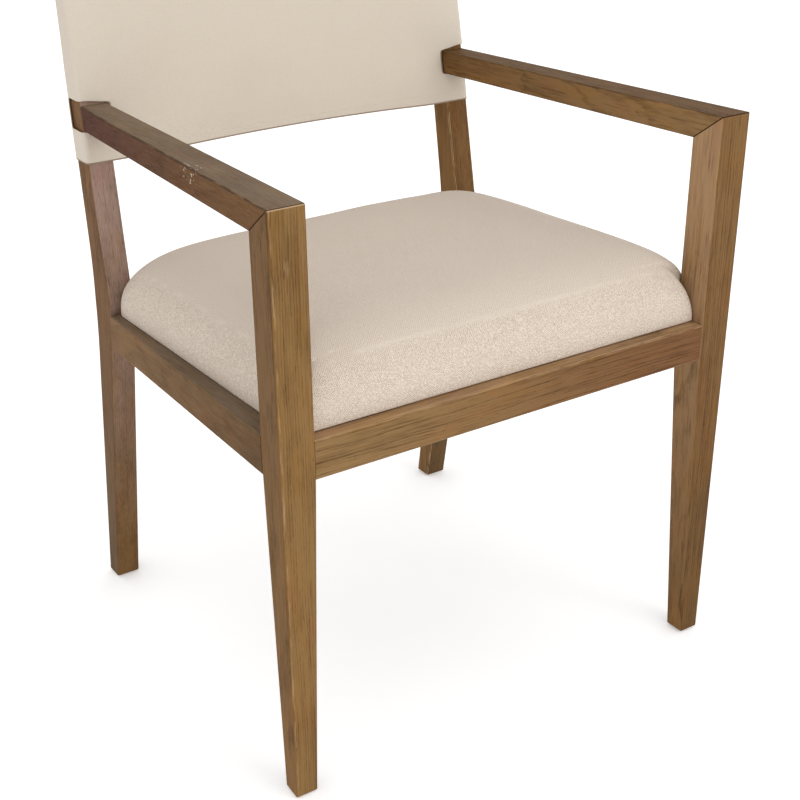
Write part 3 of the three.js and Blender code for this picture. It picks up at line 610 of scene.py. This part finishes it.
def linen(name, cloth, yarn, fleck, edge=None):
    """Natural linen. The weave follows whichever way the surface faces.

    yarn is the spacing of its threads and fleck how strongly they vary; edge is the height of a hem.
    """
    g = Graph(name)
    x, y, z = g.coordinates()
    nx, ny, nz = (g.math("ABSOLUTE", part) for part in g.coordinates("Normal"))
    top = weave_on(g, x, y, 0.0, yarn)
    front = weave_on(g, x, z, 1.3, yarn)
    side = weave_on(g, y, z, 2.6, yarn)
    facing_up = g.band(g.math("SUBTRACT", nz, g.math("MAXIMUM", nx, ny)), -0.12, 0.12)
    facing_side = g.band(g.math("SUBTRACT", nx, ny), -0.12, 0.12)

    def pick(index):
        upright = g.mix(facing_side, front[index], side[index])
        return g.mix(facing_up, upright, top[index])

    crossing = pick(0)
    slubs = pick(1)
    shadow = g.mix(1.0, cloth, LINEN_SHADOW, "MULTIPLY")
    pale = g.mix(1.0, cloth, LINEN_PALE, "MULTIPLY")
    amount = g.scaled(g.band(nz, 0.35, 0.95), -0.6 * fleck, fleck)
    gaps = g.math("MULTIPLY", g.band(crossing, 0.1, -0.9), g.scaled(amount, 0.9, 0.10))
    colour = g.mix(gaps, cloth, shadow)
    colour = g.mix(g.math("MULTIPLY", g.band(slubs, 0.94, 0.80), g.scaled(amount, 0.55)), colour, shadow)
    colour = g.mix(g.math("MULTIPLY", g.band(slubs, 1.06, 1.20), g.scaled(amount, 0.8)), colour, pale)
    cloud = g.noise(g.vector(x, y, z), 11, 3)
    colour = g.mix(g.scaled(g.band(cloud, 0.40, 0.75), 0.06), colour, shadow)
    height = g.math("ADD", g.scaled(crossing, 0.45), g.scaled(slubs, 0.7))
    if edge:
        off = g.math("ABSOLUTE", g.math("SUBTRACT", z, edge))
        height = g.math("ADD", height, g.scaled(g.band(off, 0.0009, 0.0), -0.8))
    return g.shade(
        colour, 0.93, height, YARN_DEPTH,
        Sheen_Weight=0.08, Sheen_Roughness=0.5, Specular_IOR_Level=0.2,
    )


# ---- Meshes ----


def new_object(name, mesh):
    thing = bpy.data.objects.new(name, mesh)
    bpy.context.scene.collection.objects.link(thing)
    return thing


def mesh_of(work, name):
    work.normal_update()
    mesh = bpy.data.meshes.new(name)
    work.to_mesh(mesh)
    work.free()
    for face in mesh.polygons:
        face.use_smooth = True
    return mesh


def baked(thing):
    """Replaces an object's mesh by what its modifiers make of it."""
    graph = bpy.context.evaluated_depsgraph_get()
    made = bpy.data.meshes.new_from_object(thing.evaluated_get(graph))
    thing.modifiers.clear()
    thing.data = made
    for face in made.polygons:
        face.use_smooth = True


# ---- Seat cushion ----


def eased(value, start, end):
    """0 before start, 1 after end, smooth between them."""
    share = max(0.0, min(1.0, (value - start) / (end - start)))
    return share * share * (3 - 2 * share)


def rail_plane(y):
    """Height of the plane through the rails' sloping tops."""
    return RAIL_TOP - SEAT_SLOPE * (y - LEG_BACK)


def cushion_half(y):
    """Half width of the cushion at a depth: it draws in between the front legs and between the posts."""
    share = (y - CUSHION_FRONT) / (CUSHION_REAR - CUSHION_FRONT)
    side = CUSHION_SIDE + (CUSHION_SIDE_REAR - CUSHION_SIDE) * share
    behind_leg = eased(y, LEG_NOTCH[0], LEG_NOTCH[-1])
    before_post = 1 - eased(y, POST_NOTCH[0], POST_NOTCH[-1])
    half = CUSHION_BETWEEN_LEGS + (side - CUSHION_BETWEEN_LEGS) * behind_leg
    return CUSHION_BETWEEN_POSTS + (half - CUSHION_BETWEEN_POSTS) * before_post


def crowded(line):
    """A line's place from -1 to 1, with the lines closer together towards the ends."""
    return math.sin(math.pi / 2 * (2 * line / CUSHION_LINES - 1))


def cushion_depths():
    """Places of the cross lines, closer towards the ends and round the notches."""
    places = [CUSHION_MIDDLE + CUSHION_REACH * crowded(line) for line in range(CUSHION_LINES + 1)]
    notches = list(LEG_NOTCH + POST_NOTCH)
    clear = [y for y in places if all(abs(y - notch) > NOTCH_CLEARANCE for notch in notches)]
    return sorted(clear + notches)


def crown(u, v):
    """Share of the cushion's full height, from its rim to its middle, for u and v from -1 to 1."""
    side = max(0.0, 1 - abs(u) ** CROWN_SIDES)
    end = max(0.0, 1 - abs(v) ** CROWN_SIDES)
    square = FRONT_CORNERS[u > 0] * eased(-v, *CORNER_SQUARING)
    fullness = (side * end) ** (1 - square) * min(side, end) ** square
    return fullness ** CROWN_SHOULDER


def cushion_body():
    """A crowned closed form, turned under all round at the rails."""
    work = bmesh.new()
    rows = []
    for y in cushion_depths():
        v = (y - CUSHION_MIDDLE) / CUSHION_REACH
        row = []
        for line in range(CUSHION_LINES + 1):
            u = crowded(line)
            x = u * cushion_half(y)
            share = crown(u, v)
            fuller = eased(x, *FULL_SIDE)
            rise = CUSHION_RIM + (CUSHION_HEIGHT - CUSHION_RIM) * share * (1 + FULLER_HEIGHT * fuller)
            pressed = eased(-x, *FULL_SIDE) * eased(-y, *PRESSED_DEPTH)
            bulge = (FULLER_WIDTH * fuller - PRESSED_WIDTH * pressed) * 4 * share * (1 - share)
            row.append(work.verts.new((x + bulge, y, rail_plane(y) + rise)))
        rows.append(row)
    for row, after in zip(rows, rows[1:]):
        for i in range(CUSHION_LINES):
            work.faces.new((row[i], row[i + 1], after[i + 1], after[i]))
    turn_under(work, rim_of(rows))
    return new_object("seat_cushion", mesh_of(work, "seat_cushion"))


def rim_of(rows):
    """The rim's vertices in order, against the clock as seen from above."""
    front, rear = rows[0], rows[-1]
    right = [row[-1] for row in rows[1:-1]]
    left = [row[0] for row in rows[1:-1]]
    return front + right + rear[::-1] + left[::-1]


def turn_under(work, rim):
    """Rounds the bottom edge and closes the underside, ring by ring."""
    last = rim
    for inset, rise in UNDER_TURN:
        ring = []
        for vertex in rim:
            x, y = vertex.co.x, vertex.co.y
            side = math.copysign(min(inset, abs(x)), x)
            off_middle = y - CUSHION_MIDDLE
            end = math.copysign(min(inset, abs(off_middle)), off_middle)
            moved = Vector((x - side, y - end, 0.0))
            moved.z = rail_plane(moved.y) + rise
            ring.append(work.verts.new(moved))
        for i in range(len(ring)):
            after = (i + 1) % len(ring)
            work.faces.new((last[i], ring[i], ring[after], last[after]))
        last = ring
    work.faces.new(last[::-1])


def inflate(thing):
    """Blows the cover up a little over its padding, and keeps every point within its reach."""
    pinned = thing.vertex_groups.new(name="pinned")
    for vertex in thing.data.vertices:
        low = vertex.co.z - rail_plane(vertex.co.y)
        pinned.add([vertex.index], 1 - eased(low, 0.004, 0.016), "REPLACE")
    before = [vertex.co.copy() for vertex in thing.data.vertices]
    cloth = thing.modifiers.new("cloth", "CLOTH")
    cloth.settings.quality = 5
    cloth.settings.mass = 0.3
    cloth.settings.tension_stiffness = 12
    cloth.settings.compression_stiffness = 12
    cloth.settings.bending_stiffness = 0.6
    cloth.settings.use_pressure = True
    cloth.settings.uniform_pressure_force = 4
    cloth.settings.vertex_group_mass = "pinned"
    cloth.settings.effector_weights.gravity = 0
    cloth.point_cache.frame_start = 1
    cloth.point_cache.frame_end = SIMULATION_FRAMES
    for step in range(1, SIMULATION_FRAMES + 1):
        bpy.context.scene.frame_set(step)
    baked(thing)
    bpy.context.scene.frame_set(1)
    for vertex, start in zip(thing.data.vertices, before):
        move = vertex.co - start
        if move.length > CUSHION_SWELL:
            vertex.co = start + move.normalized() * CUSHION_SWELL
    thing.vertex_groups.clear()


def relax_cushion(thing):
    """Soft unevenness of the padding, and short pulls where the fabric turns under at the rails."""
    marks = [(vertex, vertex.co.copy(), vertex.normal.copy()) for vertex in thing.data.vertices]
    for vertex, point, normal in marks:
        low = point.z - rail_plane(point.y)
        swell = sum(noise.noise(point * fine) * high for fine, high in SOFT_SWELLS)
        rim = max(0.0, 1.0 - abs(low - PULL_BAND[0]) / PULL_BAND[1])
        wave = math.sin((point.x + point.y) * 150.0 + 3.0 * noise.noise(point * 30.0))
        pull = wave * rim * PULL_HEIGHT
        free = min(1.0, max(0.0, (low - 0.002) / 0.02))
        vertex.co = point + normal * (swell * free + pull * free)


def make_cushion():
    """The upholstered seat: foam and cover as one soft body."""
    thing = cushion_body()
    inflate(thing)
    relax_cushion(thing)
    detail = thing.modifiers.new("detail", "SUBSURF")
    detail.levels = 2
    detail.render_levels = 2
    set_materials(thing, linen("seat_linen", SEAT_CLOTH, SEAT_YARN, 1.6))
    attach(thing, "root")
    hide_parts("seat_foam", "seat_cover")


# ---- Back cover ----

ARC_STEPS = 4
FRONT_SHARES = [i / 12 for i in range(12)]


def half_ring(height, inset):
    """Right half of the cover's outline at a height, from the middle of its front to that of its rear."""
    half = post_outer(height) + COVER_PROUD - inset - COVER_CORNER
    front = post_front(height) - COVER_PROUD + inset
    rear = post_rear(height) + COVER_PROUD - inset
    cut = CUT_OUT_INNER + post_outer(height) - post_outer(CUT_OUT_LOW)
    points = [Vector((cut * share, front, height)) for share in FRONT_SHARES]
    points += [Vector((cut + (half - cut) * share, front, height)) for share in (0, 0.25, 0.5, 0.75)]
    points += arc(half, front + COVER_CORNER, -90, height)
    side_from = front + COVER_CORNER
    side_to = rear - COVER_CORNER
    for step in range(1, 5):
        points.append(Vector((half + COVER_CORNER, side_from + (side_to - side_from) * step / 5, height)))
    points += arc(half, side_to, 0, height)
    rear_half = [Vector((half * (1 - step / 16), rear, height)) for step in range(1, 17)]
    return points + rear_half


def arc(x, y, start, height):
    """A rounded corner's quarter turn round its middle, from a starting angle."""
    points = []
    for step in range(ARC_STEPS + 1):
        angle = math.radians(start + 90 * step / ARC_STEPS)
        off_x = COVER_CORNER * math.cos(angle)
        off_y = COVER_CORNER * math.sin(angle)
        points.append(Vector((x + off_x, y + off_y, height)))
    return points


# The right cut-out's columns: the front's last four steps, a corner and the five steps of the side.
CUT_FIRST = len(FRONT_SHARES)
CUT_LAST = CUT_FIRST + 4 + ARC_STEPS + 5


def full_ring(height, inset=0.0):
    """The whole outline, from the middle of the front and first along the right."""
    right = half_ring(height, inset)
    left = [Vector((-point.x, point.y, point.z)) for point in right[1:-1]]
    return right + left[::-1]


def cover_heights():
    """Heights of the cover's rings, closer together at the hem and the cut-outs."""
    levels = [COVER_LOW, COVER_LOW + 0.0012, COVER_LOW + HEM * 0.5, COVER_LOW + HEM]
    levels += [0.600, 0.608, CUT_OUT_LOW - 0.0015, CUT_OUT_LOW]
    levels += [0.622, 0.628, 0.635, 0.641, CUT_OUT_HIGH, CUT_OUT_HIGH + 0.0015]
    levels += [0.657 + 0.0108 * step for step in range(20)]
    return levels + [COVER_HIGH - COVER_CORNER]


def in_cut_out(column, row_low, row_high, count):
    """Whether the face in a column between two heights falls in either arm's cut-out."""
    if row_low < CUT_OUT_LOW - 1e-6 or row_high > CUT_OUT_HIGH + 1e-6:
        return False
    right = CUT_FIRST <= column < CUT_LAST
    left = count - CUT_LAST <= column < count - CUT_FIRST
    return right or left


def crease(point):
    """How far the fabric stands off its straight shape at a point."""
    stretch = Vector((point.x * 4.0, point.y * 9.0, point.z * 7.0))
    lazy = noise.noise(stretch) * LAZY_CREASE
    small = noise.noise(Vector((point.x * 26.0, point.y * 26.0, point.z * 17.0))) * SMALL_CREASE
    beside = abs(abs(point.x) - PULL_FROM)
    over = point.z - CUT_OUT_HIGH
    pull = 0.0
    if over > 0:
        fade = math.exp(-over / 0.05) * math.exp(-beside / 0.04)
        pull = math.sin((beside - over * 0.6) * 190.0) * fade * CUT_OUT_PULL
    low_edge = math.exp(-(point.z - COVER_LOW) / 0.02)
    wave = noise.noise(Vector((point.x * 14.0, point.y * 14.0, 3.0))) * low_edge * LOW_EDGE_WAVE
    return lazy + small + pull + wave


def edge_lift(point):
    """How far the hand-cut edges stray upwards from level at a point."""
    off_middle = abs(point.x) / HEM_BOW_REACH
    fade = max(0.0, 1 - (point.z - COVER_LOW) / HEM_BOW_FADE)
    bow = HEM_BOW * max(0.0, 1 - off_middle ** 2) * fade
    outwards = eased(abs(point.x), CUT_OUT_INNER + 0.001, CUT_OUT_OUTER)
    near_cut = math.exp(-((point.z - CUT_OUT_HIGH) / 0.012) ** 2)
    return bow + (CUT_OUT_LIFT * outwards * near_cut if point.z > CUT_OUT_HIGH - 0.001 else 0.0)


def make_cover():
    """The linen cover slipped over the back, open at the bottom and closed at the top."""
    work = bmesh.new()
    levels = cover_heights()
    rows = [[work.verts.new(point) for point in full_ring(height)] for height in levels]
    count = len(rows[0])
    for low, high, low_row, high_row in zip(levels, levels[1:], rows, rows[1:]):
        for column in range(count):
            if in_cut_out(column, low, high, count):
                continue
            after = (column + 1) % count
            work.faces.new((low_row[column], low_row[after], high_row[after], high_row[column]))
    rows.append(round_top(work, rows[-1]))
    close_top(work, rows[-1])
    work.normal_update()
    outward = [(vertex, vertex.normal.copy()) for vertex in work.verts]
    for vertex, normal in outward:
        lift = edge_lift(vertex.co)
        vertex.co += normal * crease(vertex.co)
        vertex.co.z += lift
    loose = [vertex for vertex in work.verts if not vertex.link_faces]
    bmesh.ops.delete(work, geom=loose, context="VERTS")
    area = sum(face.calc_area() for face in work.faces)
    thing = new_object("back_slip_cover", mesh_of(work, "back_slip_cover"))
    shell = thing.modifiers.new("shell", "SOLIDIFY")
    shell.thickness = COVER_FABRIC
    shell.offset = -1
    # the shell's rim also takes the hem's painted shadow line
    shell.material_offset_rim = 1
    detail = thing.modifiers.new("detail", "SUBSURF")
    detail.levels = 2
    detail.render_levels = 2
    main = linen("cover_linen", COVER_CLOTH, COVER_YARN, 0.22, COVER_LOW + HEM)
    set_materials(thing, main, linen("cover_edge_shadow", COVER_EDGE_SHADOW_CLOTH, COVER_YARN, 0.4))
    for face in thing.data.polygons[:count]:
        face.material_index = 1  # the folded lower edge, darkened as a painted shadow line
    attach(thing, "root")
    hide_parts("back_cover")


def round_top(work, ring):
    """Turns the cover's top edge over with a small radius."""
    last = ring
    for step in (1, 2, 3):
        angle = math.radians(30 * step)
        height = COVER_HIGH - COVER_CORNER + COVER_CORNER * math.sin(angle)
        inset = COVER_CORNER * (1 - math.cos(angle)) * 0.98
        points = full_ring(height, inset)
        made = [work.verts.new(point) for point in points]
        for column in range(len(made)):
            after = (column + 1) % len(made)
            work.faces.new((last[column], last[after], made[after], made[column]))
        last = made
    return last


def close_top(work, ring):
    """Joins the front edge to the rear edge, strip by strip."""
    count = len(ring)
    half = count // 2
    right = ring[: half + 1]
    left = [ring[0]] + ring[:half - 1:-1]
    for side in (right, left):
        low, high = 0, len(side) - 1
        while high - low > 2:
            face = (side[low], side[low + 1], side[high - 1], side[high])
            work.faces.new(face if side is right else face[::-1])
            low, high = low + 1, high - 1
        if high - low == 2:
            face = (side[low], side[low + 1], side[high])
            work.faces.new(face if side is right else face[::-1])


# ---- Dust lining and back wadding ----

LINING_MARGIN = 0.0005  # inside the CAD's outline
LINING_CLOTH = 0.0004
LINING_DROP = 0.0007  # below the plane of the rails' tops
LINING_SAG = 0.0055
LINING_CELLS = 44
FRONT_CUT = (0.055, 0.050)  # width and depth of the lining's cut-off front corners
REAR_CUT = (0.070, 0.035)
STAPLE_PITCH = 0.038
STAPLE_INSET = 0.006  # from the lining's edges
STAPLE_DROP = 0.0009  # of the wire's middle below the lining
STAPLE_REACH = 0.005  # half the crown's length
STAPLE_WIRE = 0.00045  # half the wire's width
STAPLE_CORNERS = 8
SIDE_START = 0.058  # from the front row of staples to the first one on each side
SIDE_SHORTER = 0.11  # how much shorter a side's row is than the side
WADDING_CELLS = (24, 16)  # across and up
WADDING_THICKNESS = 0.006
WADDING_MARGIN = 0.0315  # from the posts' outer faces
WADDING_TUCK = 0.0018  # how much each face draws in at its edge
WADDING_GAPS = (0.0004, 0.0002)  # in front of it and behind it
WADDING_LUMPS = 0.0006


def make_lining():
    """The dust lining under the seat, stapled along its edges and sagging a little between them."""
    low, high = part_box("dust_cover")
    half = high.x - LINING_MARGIN
    front, rear = low.y + LINING_MARGIN, high.y - LINING_MARGIN
    work = bmesh.new()
    rows = []
    for j in range(LINING_CELLS + 1):
        y = front + (rear - front) * j / LINING_CELLS
        front_cut = FRONT_CUT[0] * (1 - (y - front) / FRONT_CUT[1])
        rear_cut = REAR_CUT[0] * (1 - (rear - y) / REAR_CUT[1])
        reach = half - max(front_cut, rear_cut, 0.0)
        row = []
        for i in range(LINING_CELLS + 1):
            x = reach * (2 * i / LINING_CELLS - 1)
            inward = min(reach - abs(x), y - front, rear - y)
            sag = LINING_SAG * eased(inward, 0.0, 0.16)
            pucker = 0.0009 * math.cos(2 * math.pi * (x + y) / STAPLE_PITCH) * eased(inward, 0.002, 0.012)
            pucker *= math.exp(-inward / 0.022)
            slack = noise.noise(Vector((x * 9, y * 9, 5.0))) * 0.0011 * eased(inward, 0.0, 0.05)
            row.append(work.verts.new((x, y, rail_plane(y) - LINING_DROP - sag - pucker - slack)))
        rows.append(row)
    for row, after in zip(rows, rows[1:]):
        for i in range(LINING_CELLS):
            work.faces.new((row[i], after[i], after[i + 1], row[i + 1]))
    area = sum(face.calc_area() for face in work.faces)
    thing = new_object("dust_lining", mesh_of(work, "dust_lining"))
    shell = thing.modifiers.new("shell", "SOLIDIFY")
    shell.thickness = LINING_CLOTH
    shell.offset = -1
    detail = thing.modifiers.new("detail", "SUBSURF")
    detail.levels = 1
    detail.render_levels = 1
    set_materials(thing, nonwoven())
    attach(thing, "root")
    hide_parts("dust_cover")


def make_staples():
    """Wire staples along the lining's four edges, clear of its cut-off corners."""
    low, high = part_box("dust_cover")
    half = high.x - STAPLE_INSET
    front, rear = low.y + STAPLE_INSET, high.y - STAPLE_INSET
    work = bmesh.new()
    end = half - REAR_CUT[0]
    across = int(2 * end / STAPLE_PITCH)
    for i in range(across + 1):
        x = end * (2 * i / across - 1)
        staple(work, Vector((x, front, 0.0)), Vector((1, 0, 0)))
        staple(work, Vector((x, rear, 0.0)), Vector((1, 0, 0)))
    row = rear - front - SIDE_SHORTER
    along = int(row / STAPLE_PITCH)
    for i in range(along + 1):
        y = front + SIDE_START + row * i / along
        for side in (-1, 1):
            staple(work, Vector((side * half, y, 0.0)), Vector((0, 1, -SEAT_SLOPE)).normalized())
    thing = new_object("lining_staples", mesh_of(work, "lining_staples"))
    set_materials(thing, zinc())
    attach(thing, "root")


def staple(work, place, run):
    """One staple's crown, a flattened wire with round ends, lying just below the lining."""
    centre = Vector((place.x, place.y, rail_plane(place.y) - LINING_DROP - STAPLE_DROP))
    across = Vector((0, 0, 1)).cross(run)
    rings = []
    for step in range(-4, 5):
        share = step / 4
        size = STAPLE_WIRE * math.sqrt(max(0.02, 1 - share ** 6))
        spot = centre + run * (share * STAPLE_REACH) + Vector((0, 0, 0.0006 * share ** 4))
        ring = []
        for corner in range(STAPLE_CORNERS):
            angle = 2 * math.pi * corner / STAPLE_CORNERS
            sideways = across * (size * math.cos(angle))
            upwards = Vector((0, 0, size * 0.7 * math.sin(angle)))
            ring.append(work.verts.new(spot + sideways + upwards))
        rings.append(ring)
    for ring, after in zip(rings, rings[1:]):
        for corner in range(STAPLE_CORNERS):
            following = (corner + 1) % STAPLE_CORNERS
            work.faces.new((ring[corner], ring[following], after[following], after[corner]))
    work.faces.new(rings[0][::-1])
    work.faces.new(rings[-1])


def make_padding():
    """The wadding inside the back, behind the cover's front panel."""
    low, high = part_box("back_foam")
    work = bmesh.new()
    across, up = WADDING_CELLS
    grids = []
    for layer in (0, 1):
        rows = []
        for j in range(up + 1):
            height = low.z + (high.z - low.z) * j / up
            half = post_outer(height) - WADDING_MARGIN
            row = []
            for i in range(across + 1):
                x = half * (2 * i / across - 1)
                tuck = WADDING_TUCK if min(i, across - i, j, up - j) == 0 else 0.0
                if layer == 0:
                    lumps = noise.noise(Vector((x * 20, height * 20, layer))) * WADDING_LUMPS
                    depth = WADDING_GAPS[0] + tuck + lumps
                else:
                    depth = WADDING_THICKNESS - WADDING_GAPS[1] - tuck
                row.append(work.verts.new((x, post_front(height) + depth, height)))
            rows.append(row)
        grids.append(rows)
    for layer, rows in enumerate(grids):
        for j in range(up):
            for i in range(across):
                face = (rows[j][i], rows[j][i + 1], rows[j + 1][i + 1], rows[j + 1][i])
                work.faces.new(face if layer == 0 else face[::-1])
    rim = [(0, i) for i in range(across + 1)] + [(j, across) for j in range(1, up + 1)]
    rim += [(up, i) for i in range(across - 1, -1, -1)] + [(j, 0) for j in range(up - 1, 0, -1)]
    for (j, i), (jn, im) in zip(rim, rim[1:] + rim[:1]):
        work.faces.new((grids[0][jn][im], grids[0][j][i], grids[1][j][i], grids[1][jn][im]))
    thing = new_object("back_wadding", mesh_of(work, "back_wadding"))
    set_materials(thing, wadding())
    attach(thing, "root")
    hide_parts("back_foam")


# ---- Plain CAD pieces ----


def finish_small_parts():
    blocks = raw_wood("corner_blocks", "x", "raw_birch", 0.006)
    rails = raw_wood("hidden_rails", "x", "raw_pine", 0.007)
    looks = {
        "corner_block": blocks,
        "back_top_rail": rails,
        "back_bottom_rail": rails,
        "arm_tenon": rails,
        "mitre_spline": ply(),
        "seat_board": ply(),
        "back_board": hardboard(),
        "back_panel": hardboard(),
        "screw": zinc(),
        "glide": moulded_plastic(),
    }
    for name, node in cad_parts.items():
        for key, material in looks.items():
            if key in name:
                set_materials(node, material)


# ---- Studio ----

CAMERA_PLACE = Vector((-0.84036, -1.30940, 1.02135))
CAMERA_HEADING = math.radians(32.11)  # to the right of +Y
CAMERA_PITCH = math.radians(27.23)  # downwards
CAMERA_ROLL = math.radians(1.12)
CAMERA_LENS = 63.39
CAMERA_SHIFT = (0.0375, 0.0625)


def make_camera():
    heading, pitch = CAMERA_HEADING, CAMERA_PITCH
    ahead = Vector((
        math.sin(heading) * math.cos(pitch),
        math.cos(heading) * math.cos(pitch),
        -math.sin(pitch),
    ))
    level = Vector((math.cos(heading), -math.sin(heading), 0.0))
    down = ahead.cross(level)
    right = level * math.cos(CAMERA_ROLL) + down * math.sin(CAMERA_ROLL)
    up = -(down * math.cos(CAMERA_ROLL) - level * math.sin(CAMERA_ROLL))
    turn = Matrix((right, up, -ahead)).transposed()
    data = bpy.data.cameras.new("camera")
    data.lens = CAMERA_LENS
    data.sensor_width = 36
    data.shift_x, data.shift_y = CAMERA_SHIFT
    data.clip_end = 100
    camera = new_object("camera", data)
    camera.matrix_world = Matrix.Translation(CAMERA_PLACE) @ turn.to_4x4()
    bpy.context.scene.camera = camera


def soft_box(name, place, target, size, power):
    data = bpy.data.lights.new(name, "AREA")
    data.shape = "SQUARE"
    data.size = size
    data.energy = power
    light = new_object(name, data)
    light.location = place
    light.rotation_euler = (Vector(target) - Vector(place)).to_track_quat("-Z", "Y").to_euler()


def make_floor():
    work = bmesh.new()
    bmesh.ops.create_circle(work, cap_ends=True, segments=96, radius=40.0)
    floor = new_object("floor", mesh_of(work, "floor"))
    g = Graph("floor")
    spot = g.vector(*g.coordinates())
    mottle = g.noise(spot, 6, 3)
    colour = g.mix(mottle, (0.97, 0.97, 0.97, 1.0), (0.95, 0.95, 0.95, 1.0))
    made = g.shade(
        colour, 0.8, mottle, 0.0001,
        Specular_IOR_Level=0.1, Emission_Color=(1.0, 1.0, 1.0, 1.0), Emission_Strength=0.26,
    )
    set_materials(floor, made)


def make_studio():
    world = bpy.data.worlds.new("studio")
    world.use_nodes = True
    background = world.node_tree.nodes["Background"]
    background.inputs["Color"].default_value = (1.0, 1.0, 1.0, 1.0)
    background.inputs["Strength"].default_value = 0.97
    bpy.context.scene.world = world
    soft_box("key", (0.9, -3.1, 1.9), (0.0, 0.0, 0.45), 2.2, 30)
    bpy.context.scene.view_settings.view_transform = "Standard"


# ---- Scene ----

make_camera()
make_studio()
make_floor()
finish_timber()
finish_small_parts()
make_cushion()
make_cover()
make_padding()
make_lining()
make_staples()
